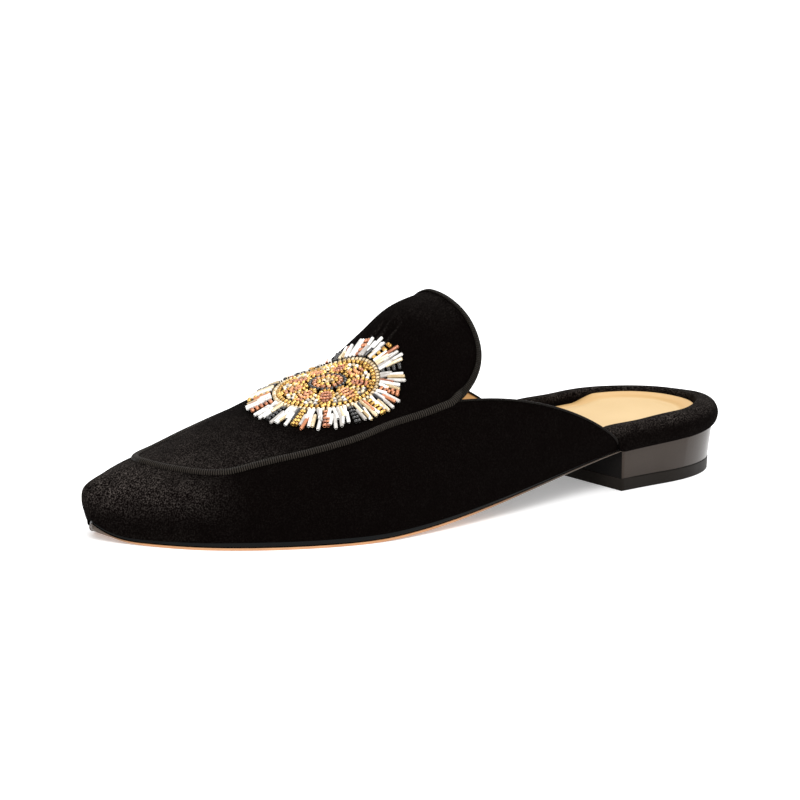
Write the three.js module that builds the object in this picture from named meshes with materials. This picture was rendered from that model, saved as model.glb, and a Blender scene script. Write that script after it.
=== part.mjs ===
// Slipper mule for the left foot: velvet upper with a tongue, flat block heel, bound edges.
// Millimetres. While it is worked out, x runs from the back of the heel to the toe, y to the
// lateral (outer) side and z up from the floor. The finished group is centred on its box.

import * as THREE from 'three';
import { mergeVertices } from 'three/addons/utils/BufferGeometryUtils.js';

// Length and widths of the sole, measured from the shoe's axis
const soleLength = 240.9;
const heelWidthLateral = 30.1;
const heelWidthMedial = 29.2;
const heelWidestAt = 41.6;
const waistWidthMedial = 24.5;
const waistAt = 101.7;
const ballWidthLateral = 40.4;
const ballLateralAt = 160.6;
const ballWidthMedial = 40.6;
const ballMedialAt = 172.8;
const toeAcross = -14.7;
const toeTurnBack = 18.2;
const toeTurnAcross = 10.3;
const toeTurnSlope = 1.29;
const toeTurnAt = soleLength - toeTurnBack;

// How far each curve of the outline keeps its end direction, as shares of its run
const quarterCirclePull = 0.5523;
const lateralWaistPull = 0.323;
const medialWaistPull = 0.4;
const toeTurnPull = 0.53;
const medialToePull = 0.397;
const medialToeWidthShare = 0.543;

// Heights of the sole line
const heelHeight = 13.75;
const heelBreastAt = 59.8;
const seatSlope = 0.034;
const forefootFlatFrom = 176.4;
const toeSpringLength = 12.3;
const toeSpring = 4.8;
const toeSpringPower = 3.2;
const breastLeave = 0.13;
const forefootFlatTo = soleLength - toeSpringLength;

// Layers under the foot
const outsoleThickness = 1.2;
const edgeThickness = 1.9;
const waistThinning = 0.5;
const edgeProud = 0.4;
const topLiftThickness = 4.5;
const heelBackInset = 3.5;
const heelBackPower = 2.25;
const heelTaper = 0.9;
const insoleThickness = 2.6;
const insoleMargin = 9;
const insoleDish = 1.7;
const heelPad = 1.4;
const insoleFlare = 0.2;
const insoleTipWidth = 9;
const insoleStepRun = 9;
const insoleStepLead = 3;

// Rim around the heel seat
const rimHeight = 7.1;
const rimWidth = 6.2;
const rimProud = 2.6;
const rimFrontAt = 58.5;
const rimLean = 6;

// Upper
const instepHeight = 70;
const upperWall = 1.8;
const featherInset = 2.2;
const upperBackAt = 50;
const toeCrownBack = 30;
const girthShare = 0.3;
const tongueBackAt = 115;
const notchAt = 134;
const notchHeight = 39.8;
const quarterBackAt = 62;
const quarterBackHeight = 15;
const tongueCurl = 3.3;
const quarterCurl = 0.8;

// Bindings and strip
const clearance = 0.35;
const stripWidth = 3.2;
const stripThickness = 0.9;
const stripBevel = 0.3;
const tongueBindingDepth = 3;
const quarterBindingDepth = 1.5;
const bindingThickness = 0.55;
const bindingClearance = 0.5;

// Beaded panel on the apron
const beadPanelThickness = 1.4;
const beadPanelFrom = 135;
const beadPanelTo = 188;
const beadPanelShare = 0.8;

// Sections of the upper. at: share of the sole length. ridge: share of the instep height.
// across: share of the toe's sideways shift. girth: height of the widest line over the
// feather edge, share of the notch height. swell: how far the wall stands out past the feather
// edge, mm. side and crown: how long the wall stays upright and the top stays level.
const sections = [
  { at: 0.18, ridge: 1.252, across: 0.23, girth: 0.20, swell: 6.2, side: 0.62, crown: 0.40 },
  { at: 0.27, ridge: 1.167, across: 0.23, girth: 0.20, swell: 6.0, side: 0.62, crown: 0.42 },
  { at: 0.36, ridge: 1.083, across: 0.245, girth: 0.24, swell: 4.8, side: 0.60, crown: 0.44 },
  { at: 0.45, ridge: 0.983, across: 0.26, girth: 0.28, swell: 3.8, side: 0.56, crown: 0.46 },
  { at: 0.53, ridge: 0.907, across: 0.305, girth: 0.30, swell: 3.4, side: 0.52, crown: 0.50 },
  { at: 0.61, ridge: 0.681, across: 0.40, girth: 0.30, swell: 3.4, side: 0.50, crown: 0.52 },
  { at: 0.69, ridge: 0.593, across: 0.50, girth: 0.28, swell: 3.4, side: 0.48, crown: 0.54 },
  { at: 0.77, ridge: 0.491, across: 0.62, girth: 0.25, swell: 3.5, side: 0.46, crown: 0.56 },
  { at: 0.85, ridge: 0.392, across: 0.77, girth: 0.22, swell: 3.7, side: 0.46, crown: 0.58 },
  { at: 0.93, ridge: 0.336, across: 0.90, girth: 0.18, swell: 3.8, side: 0.46, crown: 0.74 },
  { at: 1.00, ridge: 0.335, across: 1.00, girth: 0.15, swell: 3.2, side: 0.38, crown: 0.92 },
];

// Section of the heel rim. across: share of its width from the outer face. up: share of its height.
const rimProfile = [
  { across: 0.39, up: 0.00 },
  { across: 0.10, up: 0.14 },
  { across: 0.00, up: 0.42 },
  { across: 0.12, up: 0.76 },
  { across: 0.39, up: 0.95 },
  { across: 0.74, up: 1.00 },
  { across: 1.00, up: 0.93 },
  { across: 1.00, up: 0.50 },
  { across: 1.00, up: 0.00 },
  { across: 0.71, up: 0.00 },
];

// Height of the strip over the floor. at: share of the sole length. height: share of the notch.
const seamLine = [
  { at: 0.20, height: 1.40 },
  { at: 0.40, height: 1.12 },
  { at: 0.551, height: 1.00 },
  { at: 0.61, height: 0.910 },
  { at: 0.66, height: 0.851 },
  { at: 0.72, height: 0.769 },
  { at: 0.77, height: 0.705 },
  { at: 0.82, height: 0.643 },
  { at: 0.87, height: 0.574 },
  { at: 0.91, height: 0.569 },
  { at: 0.935, height: 0.605 },
  { at: 1.00, height: 0.700 },
];

const lateral = 1;
const medial = -1;

function mix(a, b, t) {
  return a + (b - a) * t;
}

function clamp01(t) {
  return Math.min(1, Math.max(0, t));
}

function smoothStep(t) {
  const k = clamp01(t);
  return k * k * (3 - 2 * k);
}

function cubic(p0, p1, p2, p3, t) {
  const r = 1 - t;
  return r * r * r * p0 + 3 * r * r * t * p1 + 3 * r * t * t * p2 + t * t * t * p3;
}

// Smooth curve through the rows of a table, with slopes taken from the rows on each side
function fromTable(rows, column, share) {
  const last = rows.length - 1;
  let i = 0;
  while (i < last - 1 && share > rows[i + 1].at) i += 1;
  const a = rows[i];
  const b = rows[i + 1];
  const before = rows[Math.max(0, i - 1)];
  const after = rows[Math.min(last, i + 2)];
  const span = b.at - a.at;
  const slopeA = (b[column] - before[column]) / (b.at - before.at);
  const slopeB = (after[column] - a[column]) / (after.at - a.at);
  const t = (share - a.at) / span;
  return cubic(a[column], a[column] + slopeA * span / 3, b[column] - slopeB * span / 3, b[column], t);
}

// Handle of a convex curve: part of the way to where its end tangents meet
function towards(end, meeting) {
  return [mix(end[0], meeting[0], toeTurnPull), mix(end[1], meeting[1], toeTurnPull)];
}

// The outline of one side as curved pieces from the heel to the toe, each with four points
function outlinePieces(side) {
  const heel = side === lateral ? heelWidthLateral : heelWidthMedial;
  const ball = side === lateral ? ballWidthLateral : ballWidthMedial;
  const ballAt = side === lateral ? ballLateralAt : ballMedialAt;
  const tip = toeAcross * side;
  const away = heelWidestAt * (1 - quarterCirclePull);
  const pieces = [[[0, 0], [0, heel * quarterCirclePull], [away, heel], [heelWidestAt, heel]]];
  if (side === lateral) {
    const pull = (ballAt - heelWidestAt) * lateralWaistPull;
    pieces.push([[heelWidestAt, heel], [heelWidestAt + pull, heel], [ballAt - pull, ball], [ballAt, ball]]);
    const turn = [toeTurnAt, toeTurnAcross];
    const before = [toeTurnAt - (ball - toeTurnAcross) / toeTurnSlope, ball];
    const after = [soleLength, toeTurnAcross - (soleLength - toeTurnAt) * toeTurnSlope];
    pieces.push([[ballAt, ball], towards([ballAt, ball], before), towards(turn, before), turn]);
    pieces.push([turn, towards(turn, after), towards([soleLength, tip], after), [soleLength, tip]]);
  } else {
    const waist = waistWidthMedial;
    const pullA = (waistAt - heelWidestAt) * medialWaistPull;
    const pullB = (ballAt - waistAt) * medialWaistPull;
    const reach = (soleLength - ballAt) * medialToePull;
    const before = [soleLength, mix(tip, ball, medialToeWidthShare)];
    const start = [heelWidestAt, heel];
    pieces.push([start, [heelWidestAt + pullA, heel], [waistAt - pullA, waist], [waistAt, waist]]);
    pieces.push([[waistAt, waist], [waistAt + pullB, waist], [ballAt - pullB, ball], [ballAt, ball]]);
    pieces.push([[ballAt, ball], [ballAt + reach, ball], before, [soleLength, tip]]);
  }
  return pieces;
}

const outlines = new Map([[lateral, outlinePieces(lateral)], [medial, outlinePieces(medial)]]);

// Distance from the axis to the outline on one side, found by halving along its curved piece
function outlineAt(side, x) {
  const pieces = outlines.get(side);
  const at = Math.min(soleLength, Math.max(0, x));
  const piece = pieces.find((p) => at <= p[3][0]) ?? pieces[pieces.length - 1];
  let low = 0;
  let high = 1;
  for (let k = 0; k < 40; k += 1) {
    const t = (low + high) / 2;
    if (cubic(piece[0][0], piece[1][0], piece[2][0], piece[3][0], t) < at) low = t;
    else high = t;
  }
  return cubic(piece[0][1], piece[1][1], piece[2][1], piece[3][1], (low + high) / 2);
}

// Height of the heel block's top, which rises towards the back
function seatHeight(x) {
  return heelHeight + seatSlope * (heelBreastAt - x);
}

// Underside of the sole in front of the heel: arch, flat forefoot, toe spring
function soleBottom(x) {
  if (x > forefootFlatTo) {
    const t = (x - forefootFlatTo) / (soleLength - forefootFlatTo);
    return toeSpring * t ** toeSpringPower;
  }
  if (x >= forefootFlatFrom) return 0;
  const run = forefootFlatFrom - heelBreastAt;
  const t = Math.min(1, (forefootFlatFrom - x) / run);
  const leave = breastLeave * run / heelHeight;
  return heelHeight * t * t * (3 - leave + (leave - 2) * t);
}

// Both layers thin out through the waist
function layerShare(x) {
  const t = smoothStep((forefootFlatFrom - x) / (forefootFlatFrom - heelBreastAt));
  return 1 - waistThinning * t;
}

function outsoleTop(x) {
  return soleBottom(x) + outsoleThickness * layerShare(x);
}

function edgeTop(x) {
  return outsoleTop(x) + clearance + edgeThickness * layerShare(x);
}

function featherHeight(x) {
  return edgeTop(x) + clearance;
}

// What the insole lies on: the sole in front of the heel, the heel block behind its breast
function insoleUnder(x) {
  const blend = smoothStep((x - heelBreastAt + insoleStepRun + insoleStepLead) / insoleStepRun);
  const behind = seatHeight(Math.min(x, heelBreastAt)) + clearance;
  const front = featherHeight(Math.max(x, heelBreastAt)) + clearance / 2;
  return x > heelBreastAt ? front : mix(behind, front, blend);
}

// Builds one closed geometry from triangles given as points, with its faces pointing out
function closedGeometry(triangles) {
  const positions = [];
  let volume = 0;
  for (const [a, b, c] of triangles) volume += a.dot(new THREE.Vector3().crossVectors(b, c));
  for (const [a, b, c] of triangles) {
    const corners = volume > 0 ? [a, b, c] : [a, c, b];
    for (const p of corners) positions.push(p.x, p.y, p.z);
  }
  const geometry = new THREE.BufferGeometry();
  geometry.setAttribute('position', new THREE.Float32BufferAttribute(positions, 3));
  const merged = mergeVertices(geometry, 1e-4);
  merged.computeVertexNormals();
  return merged;
}

function addTriangle(list, a, b, c) {
  const tiny = 1e-4;
  if (a.distanceTo(b) < tiny || b.distanceTo(c) < tiny || c.distanceTo(a) < tiny) return;
  list.push([a, b, c]);
}

function addQuad(list, a, b, c, d) {
  if (a.distanceTo(c) <= b.distanceTo(d)) {
    addTriangle(list, a, b, c);
    addTriangle(list, a, c, d);
  } else {
    addTriangle(list, a, b, d);
    addTriangle(list, b, c, d);
  }
}

// Joins rings of equal count into a skin and closes both ends rung by rung like a ladder
function loft(rings) {
  const triangles = [];
  const count = rings[0].length;
  for (let i = 0; i < rings.length - 1; i += 1) {
    for (let j = 0; j < count; j += 1) {
      const k = (j + 1) % count;
      addQuad(triangles, rings[i][j], rings[i][k], rings[i + 1][k], rings[i + 1][j]);
    }
  }
  for (const [ring, flip] of [[rings[0], true], [rings[rings.length - 1], false]]) {
    for (let j = 0; j < count / 2 - 1; j += 1) {
      const corners = [ring[j], ring[j + 1], ring[count - 2 - j], ring[count - 1 - j]];
      if (flip) corners.reverse();
      addQuad(triangles, ...corners);
    }
  }
  return closedGeometry(triangles);
}

// A plate across the shoe: rings from row to row, each with a top, two edges and an underside
function plate(stations, across, ringPoint) {
  const rings = stations.map((x) => {
    const ring = [];
    for (let j = 0; j <= across; j += 1) ring.push(ringPoint(x, j / across, true));
    for (let j = across; j >= 0; j -= 1) ring.push(ringPoint(x, j / across, false));
    return ring;
  });
  return loft(rings);
}

// Stations from one x to another, closer together at the ends that are round
function stationsBetween(from, to, count, roundStart, roundEnd) {
  const list = [];
  for (let i = 0; i <= count; i += 1) {
    let t = i / count;
    if (roundStart && roundEnd) t = (1 - Math.cos(Math.PI * t)) / 2;
    else if (roundEnd) t = Math.sin(Math.PI / 2 * t);
    else if (roundStart) t = 1 - Math.cos(Math.PI / 2 * t);
    list.push(mix(from, to, t));
  }
  return list;
}

const bluntEnd = 0.12;
const soleStations = 44;
const heelStations = 26;
const acrossSteps = 6;

// One layer of the sole in front of the heel, its outline moved in by a margin
function soleLayer(from, inset, bottom, top) {
  const to = soleLength - inset - bluntEnd;
  const stations = stationsBetween(from, to, soleStations, false, true);
  return plate(stations, acrossSteps, (x, share, upper) => {
    const at = x * soleLength / (soleLength - inset);
    const y0 = -(outlineAt(medial, at) - inset);
    const y1 = outlineAt(lateral, at) - inset;
    return new THREE.Vector3(x, mix(y0, y1, share), upper ? top(x) : bottom(x));
  });
}

// Outline of the heel block and, moved out, of the rim around the seat
function heelOutline(angleShare, outset) {
  const angle = Math.PI * angleShare;
  const power = 2 / heelBackPower;
  const across = Math.sign(Math.cos(angle)) * Math.abs(Math.cos(angle)) ** power;
  const back = Math.sin(angle) ** power;
  const width = (across >= 0 ? heelWidthLateral : heelWidthMedial) + outset;
  const depth = heelWidestAt - heelBackInset + outset;
  return { x: heelWidestAt - depth * back, y: across * width };
}

// Half width of the heel outline at one x, on one side
function heelEdge(side, x, outset) {
  const width = (side === lateral ? heelWidthLateral : heelWidthMedial) + outset;
  const depth = heelWidestAt - heelBackInset + outset;
  const back = Math.min(1, Math.max(0, (heelWidestAt - x) / depth));
  return side * width * (1 - back ** heelBackPower) ** (1 / heelBackPower);
}

function heelSlab(bottom, top, insetBottom, insetTop) {
  const from = heelBackInset + insetBottom + bluntEnd;
  const stations = stationsBetween(from, heelBreastAt, heelStations, true, false);
  return plate(stations, acrossSteps, (x, share, upper) => {
    const inset = upper ? insetTop : insetBottom;
    const y0 = heelEdge(medial, x, -inset);
    const y1 = heelEdge(lateral, x, -inset);
    return new THREE.Vector3(x, mix(y0, y1, share), upper ? top(x) : bottom(x));
  });
}

// Foot of a rib: a point of the outline with its outward direction in plan
function footOf(side, s) {
  const place = (k) => {
    const x = mix(upperBackAt, soleLength, Math.sin(Math.PI / 2 * k));
    return new THREE.Vector3(x, side * outlineAt(side, x), 0);
  };
  const step = 0.002;
  const here = place(s);
  const ahead = place(Math.min(1, s + step));
  const behind = place(s - step);
  const along = ahead.sub(behind).normalize();
  const out = new THREE.Vector3(along.y, -along.x, 0).multiplyScalar(-side);
  if (s > 1 - step) out.set(1, 0, 0);
  return { here, out };
}

function ridgeAt(x) {
  const share = x / soleLength;
  const y = toeAcross * fromTable(sections, 'across', share);
  const z = instepHeight * fromTable(sections, 'ridge', share);
  return new THREE.Vector3(x, y, z);
}

// A rib of the last's surface, from the feather edge (v = 0) to the ridge (v = 1).
// The first part is a quarter of an ellipse that turns out from under the foot, the rest a curve
// that leaves it upright and reaches the ridge level.
function ribPoint(side, s, v) {
  const { here, out } = footOf(side, s);
  const share = here.x / soleLength;
  const swell = fromTable(sections, 'swell', share);
  const girth = notchHeight * fromTable(sections, 'girth', share);
  const foot = here.clone().addScaledVector(out, -featherInset);
  foot.z = featherHeight(here.x);
  const turn = Math.PI / 2 * Math.min(1, v / girthShare);
  const low = foot.clone().addScaledVector(out, swell * Math.sin(turn));
  low.z += girth * (1 - Math.cos(turn));
  if (v <= girthShare) return low;
  const t = (v - girthShare) / (1 - girthShare);
  const back = (here.x - upperBackAt) / (soleLength - upperBackAt);
  const ridgeX = here.x - toeCrownBack * back ** 3;
  const ridge = ridgeAt(ridgeX);
  const slope = (ridgeAt(ridgeX + 1).z - ridgeAt(ridgeX - 1).z) / 2;
  const upright = fromTable(sections, 'side', share);
  const crown = fromTable(sections, 'crown', share);
  const p1 = low.clone();
  p1.z += upright * (ridge.z - low.z);
  const p2 = ridge.clone().lerp(new THREE.Vector3(low.x, low.y, ridge.z), crown);
  p2.z += slope * (p2.x - ridge.x);
  return new THREE.Vector3(
    cubic(low.x, p1.x, p2.x, ridge.x, t),
    cubic(low.y, p1.y, p2.y, ridge.y, t),
    cubic(low.z, p1.z, p2.z, ridge.z, t),
  );
}

function seamHeight(x) {
  return notchHeight * fromTable(seamLine, 'height', x / soleLength);
}

// Share of a rib at which the strip crosses it
function seamShare(side, s) {
  let low = 0.02;
  let high = 0.98;
  for (let k = 0; k < 26; k += 1) {
    const v = (low + high) / 2;
    const p = ribPoint(side, s, v);
    if (p.z < seamHeight(p.x)) low = v;
    else high = v;
  }
  return (low + high) / 2;
}

// A point of the upper by its share of the wall (0 feather, 1 strip, 2 ridge)
function wallPoint(side, s, w) {
  const seam = seamShare(side, s);
  const v = w <= 1 ? w * seam : seam + (w - 1) * (1 - seam);
  return ribPoint(side, s, v);
}

// Top edge of a quarter: level by the notch, then falling to the heel breast
function quarterTop(x) {
  const t = clamp01((notchAt - x) / (notchAt - quarterBackAt));
  const drop = notchHeight - quarterBackHeight;
  return notchHeight - drop * (1 - (1 - t * t) ** quarterCurl);
}

// Back edge of the tongue: upright at the top, curling forward to the notch
function tongueEdge(z) {
  const t = clamp01((instepHeight - z) / (instepHeight - notchHeight));
  return tongueBackAt + (notchAt - tongueBackAt) * t ** tongueCurl;
}

function isKept(p, w) {
  if (w <= 1) return p.x > quarterBackAt - 3 && p.z < quarterTop(p.x);
  return p.x > tongueEdge(p.z);
}

// Where a lengthwise line of the upper meets its cut edge
function trimAt(side, w) {
  const steps = 60;
  let k = steps;
  while (k > 1 && isKept(wallPoint(side, (k - 1) / steps, w), w)) k -= 1;
  let inside = k / steps;
  let outside = (k - 1) / steps;
  for (let n = 0; n < 24; n += 1) {
    const middle = (inside + outside) / 2;
    if (isKept(wallPoint(side, middle, w), w)) inside = middle;
    else outside = middle;
  }
  return inside;
}

const lowColumns = 9;
const highColumns = 9;
const rowCount = 30;

function columnShares() {
  const list = [];
  for (let j = 0; j < lowColumns; j += 1) list.push(Math.sin(Math.PI / 2 * j / lowColumns));
  for (let j = 0; j <= highColumns; j += 1) list.push(1 + j / highColumns);
  return list;
}

const shares = columnShares();
const trims = new Map([lateral, medial].map((side) => [side, shares.map((w) => trimAt(side, w))]));

// Columns over the whole upper: up the lateral side, over the ridge, down the medial side
const columns = [
  ...shares.map((w, j) => ({ side: lateral, w, trim: trims.get(lateral)[j] })),
  ...shares.map((w, j) => ({ side: medial, w, trim: trims.get(medial)[j] })).reverse().slice(1),
];

function gridPoint(column, i) {
  const s = mix(column.trim, 1, i / rowCount);
  return wallPoint(column.side, s, column.w);
}

const outerGrid = [];
for (let i = 0; i <= rowCount; i += 1) outerGrid.push(columns.map((column) => gridPoint(column, i)));
const lastColumn = columns.length - 1;
for (let j = 0; j < lastColumn / 2; j += 1) outerGrid[rowCount][lastColumn - j] = outerGrid[rowCount][j].clone();
const ridgeColumn = lastColumn / 2;

function keyOf(p) {
  return `${p.x.toFixed(3)},${p.y.toFixed(3)},${p.z.toFixed(3)}`;
}

// Outward directions at the points of the grid, averaged over the faces around each
function gridNormals(grid) {
  const sums = new Map();
  for (const row of grid) for (const p of row) sums.set(keyOf(p), new THREE.Vector3());
  for (let i = 0; i < grid.length - 1; i += 1) {
    for (let j = 0; j < grid[i].length - 1; j += 1) {
      const corners = [grid[i][j], grid[i + 1][j], grid[i + 1][j + 1], grid[i][j + 1]];
      const acrossA = corners[2].clone().sub(corners[0]);
      const acrossB = corners[3].clone().sub(corners[1]);
      const face = acrossA.cross(acrossB);
      for (const p of corners) sums.get(keyOf(p)).add(face);
    }
  }
  return grid.map((row) => row.map((p) => sums.get(keyOf(p)).clone().normalize()));
}

const outerNormals = gridNormals(outerGrid);
const middleNormal = outerNormals[Math.floor(rowCount / 2)][ridgeColumn];
if (middleNormal.z < 0) for (const row of outerNormals) for (const n of row) n.negate();

function offsetGrid(grid, normals, distance) {
  return grid.map((row, i) => row.map((p, j) => p.clone().addScaledVector(normals[i][j], distance)));
}

// A shell between two grids, walled along its first row and both outer columns
function shell(outer, inner, closeLastRow) {
  const triangles = [];
  const rows = outer.length - 1;
  const cols = outer[0].length - 1;
  for (let i = 0; i < rows; i += 1) {
    for (let j = 0; j < cols; j += 1) {
      addQuad(triangles, outer[i][j], outer[i + 1][j], outer[i + 1][j + 1], outer[i][j + 1]);
      addQuad(triangles, inner[i][j + 1], inner[i + 1][j + 1], inner[i + 1][j], inner[i][j]);
    }
    addQuad(triangles, outer[i + 1][0], outer[i][0], inner[i][0], inner[i + 1][0]);
    addQuad(triangles, outer[i][cols], outer[i + 1][cols], inner[i + 1][cols], inner[i][cols]);
  }
  for (let j = 0; j < cols; j += 1) {
    addQuad(triangles, outer[0][j], outer[0][j + 1], inner[0][j + 1], inner[0][j]);
    if (!closeLastRow) continue;
    addQuad(triangles, outer[rows][j + 1], outer[rows][j], inner[rows][j], inner[rows][j + 1]);
  }
  return closedGeometry(triangles);
}

function makeUpper() {
  return shell(outerGrid, offsetGrid(outerGrid, outerNormals, -upperWall), false);
}

// Outward direction of the surface at any point of the wall
function wallNormal(side, s, w) {
  const step = 0.004;
  const s1 = Math.min(1, s + step);
  const along = wallPoint(side, s1, w).sub(wallPoint(side, s1 - 2 * step, w));
  const w1 = Math.min(2, w + step);
  const up = wallPoint(side, s, w1).sub(wallPoint(side, s, w1 - 2 * step));
  const normal = along.cross(up).normalize();
  return normal.multiplyScalar(-side);
}

// The ribbed strip over the seam between vamp and apron, from notch to notch around the toe
function makeStrip() {
  const path = [];
  const ends = 1;
  for (let i = ends; i <= rowCount; i += 1) path.push({ j: lowColumns, i, side: lateral });
  for (let i = rowCount - 1; i >= ends; i -= 1) path.push({ j: lastColumn - lowColumns, i, side: medial });
  const rings = path.map(({ j, i, side }) => {
    const centre = outerGrid[i][j];
    const normal = outerNormals[i][j];
    const above = outerGrid[i][j + side].clone().sub(centre);
    const below = outerGrid[i][j - side].clone().sub(centre);
    const half = stripWidth / 2;
    const high = centre.clone().addScaledVector(above.normalize(), half);
    const low = centre.clone().addScaledVector(below.normalize(), half);
    const lift = (p, distance) => p.clone().addScaledVector(normal, distance);
    const top = clearance + stripThickness;
    return [
      lift(low, clearance), lift(low, top - stripBevel), lift(centre, top), lift(high, top - stripBevel),
      lift(high, clearance), lift(centre, clearance),
    ];
  });
  return loftStrip(rings);
}

// As loft, for rings of six points whose first and last four make the end caps
function loftStrip(rings) {
  const triangles = [];
  const count = rings[0].length;
  for (let i = 0; i < rings.length - 1; i += 1) {
    for (let j = 0; j < count; j += 1) {
      const k = (j + 1) % count;
      addQuad(triangles, rings[i][j], rings[i][k], rings[i + 1][k], rings[i + 1][j]);
    }
  }
  for (const [ring, flip] of [[rings[0], true], [rings[rings.length - 1], false]]) {
    for (const face of [[0, 1, 2, 5], [5, 2, 3, 4]]) {
      const corners = face.map((k) => ring[k]);
      if (flip) corners.reverse();
      addQuad(triangles, ...corners);
    }
  }
  return closedGeometry(triangles);
}

// A binding folded over the cut edge: a U around the wall, along some of the edge's columns
function makeBinding(from, to, depth) {
  const rings = [];
  for (let j = from; j <= to; j += 1) {
    const edge = outerGrid[0][j];
    const normal = outerNormals[0][j];
    const before = outerGrid[0][Math.max(from, j - 1)];
    const after = outerGrid[0][Math.min(to, j + 1)];
    const along = after.clone().sub(before).normalize();
    const into = new THREE.Vector3().crossVectors(normal, along).normalize();
    if (into.dot(outerGrid[1][j].clone().sub(edge)) < 0) into.negate();
    const place = (n, d) => edge.clone().addScaledVector(normal, n).addScaledVector(into, d);
    const near = bindingClearance;
    const far = bindingClearance + bindingThickness;
    const shoulder = bindingClearance + bindingThickness / 2;
    const middle = -upperWall / 2;
    rings.push([
      place(far, depth), place(far, -shoulder), place(middle, -far), place(-upperWall - far, -shoulder),
      place(-upperWall - far, depth), place(-upperWall - near, depth), place(-upperWall - near, -near),
      place(middle, -near), place(near, -near), place(near, depth),
    ]);
  }
  return loft(rings);
}

// The velvet-covered rim around the heel seat. Its front ends lean forward with the quarters'
// back edges and stop just behind them.
function makeRim() {
  const path = [];
  const sideSteps = 6;
  const turnSteps = 22;
  for (let i = sideSteps; i > 0; i -= 1) path.push({ forward: i / sideSteps, side: lateral });
  for (let i = 0; i <= turnSteps; i += 1) path.push({ turn: i / turnSteps, forward: 0 });
  for (let i = 1; i <= sideSteps; i += 1) path.push({ forward: i / sideSteps, side: medial });
  const rings = path.map(({ forward, side, turn }) => rimProfile.map(({ across, up }) => {
    const outset = rimProud - rimWidth * across;
    const lean = rimLean * up * forward;
    const x = mix(heelWidestAt, rimFrontAt, forward) + lean;
    const p = turn === undefined ? { x, y: side * (outlineAt(side, x) + outset) } : heelOutline(turn, outset);
    return new THREE.Vector3(p.x, p.y, seatHeight(p.x) + clearance + rimHeight * up);
  }));
  return loft(rings);
}

// Half width of the insole on one side: inside the rim at the heel, inside the wall in front
function insoleEdge(side, x, upper) {
  const inRim = rimWidth - rimProud + clearance;
  if (x <= heelWidestAt) return heelEdge(side, x, -inRim);
  const inWall = featherInset + upperWall + clearance * 3;
  const flare = upper ? insoleFlare : 0;
  const blend = smoothStep((x - rimFrontAt - rimLean) / (waistAt - rimFrontAt - rimLean));
  const stretch = soleLength / (soleLength - inWall);
  const at = mix(x, Math.min(soleLength, x * stretch), blend);
  return side * (outlineAt(side, at) - mix(inRim, inWall - flare, blend));
}

// Where the insole has narrowed to its tip's width, found by halving
function insoleTip() {
  let low = ballMedialAt;
  let high = soleLength;
  for (let k = 0; k < 30; k += 1) {
    const x = (low + high) / 2;
    if (insoleEdge(lateral, x, true) - insoleEdge(medial, x, true) > insoleTipWidth) low = x;
    else high = x;
  }
  return low;
}

function makeInsole() {
  const inRim = rimWidth - rimProud + clearance;
  const from = heelBackInset + inRim + bluntEnd;
  const to = insoleTip();
  const stations = stationsBetween(from, to, 46, true, true);
  return plate(stations, 10, (x, share, upper) => {
    const y0 = insoleEdge(medial, x, upper);
    const y1 = insoleEdge(lateral, x, upper);
    const y = mix(y0, y1, share);
    if (!upper) return new THREE.Vector3(x, y, insoleUnder(x));
    const heelShare = 1 - smoothStep((x - heelWidestAt) / (waistAt - heelWidestAt));
    const inFront = featherHeight(Math.max(x, heelBreastAt)) + insoleThickness;
    const onHeel = seatHeight(x) + clearance + insoleThickness + heelPad;
    const fromEdge = Math.min(y - y0, y1 - y, x - from);
    const dish = insoleDish * heelShare * (1 - smoothStep(fromEdge / insoleMargin));
    return new THREE.Vector3(x, y, mix(inFront, onHeel, heelShare) + dish);
  });
}

// Rib on which a lengthwise line of the wall reaches one x
function ribAt(side, w, x) {
  let low = 0;
  let high = 1;
  for (let k = 0; k < 26; k += 1) {
    const s = (low + high) / 2;
    if (wallPoint(side, s, w).x < x) low = s;
    else high = s;
  }
  return (low + high) / 2;
}

// Bead-embroidered panel: a low oval pad that follows the apron over the ridge
function makeBeadPanel() {
  const rows = 16;
  const cols = 16;
  const patch = (distance) => {
    const grid = [];
    for (let i = 0; i <= rows; i += 1) {
      const angle = Math.PI * i / rows;
      const x = mix(beadPanelFrom, beadPanelTo, (1 - Math.cos(angle)) / 2);
      const width = beadPanelShare * Math.sin(angle);
      const row = [];
      for (let j = 0; j <= cols; j += 1) {
        const across = width * (1 - 2 * j / cols);
        const side = across >= 0 ? lateral : medial;
        const w = 2 - Math.abs(across);
        const s = ribAt(side, w, x);
        const out = Math.abs(across) < 0.02 ? ridgeNormal(s) : wallNormal(side, s, w);
        row.push(wallPoint(side, s, w).addScaledVector(out, distance));
      }
      grid.push(row);
    }
    return grid;
  };
  return shell(patch(clearance + beadPanelThickness), patch(clearance), true);
}

function ridgeNormal(s) {
  return wallNormal(lateral, s, 2).add(wallNormal(medial, s, 2)).normalize();
}

const finishes = {
  velvet: { color: 0x120f0e, roughness: 0.95, metalness: 0 },
  grosgrain: { color: 0x2f2a25, roughness: 0.8, metalness: 0 },
  soleLeather: { color: 0xc98f66, roughness: 0.6, metalness: 0 },
  glossBlack: { color: 0x14110f, roughness: 0.2, metalness: 0 },
  heelTip: { color: 0x262120, roughness: 0.5, metalness: 0 },
  insoleLeather: { color: 0xe8bd80, roughness: 0.65, metalness: 0 },
  beads: { color: 0xc9a377, roughness: 0.35, metalness: 0.1 },
};

const group = new THREE.Group();

function addPart(name, finish, geometry) {
  const mesh = new THREE.Mesh(geometry, new THREE.MeshStandardMaterial(finishes[finish]));
  mesh.name = name;
  group.add(mesh);
}

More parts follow.
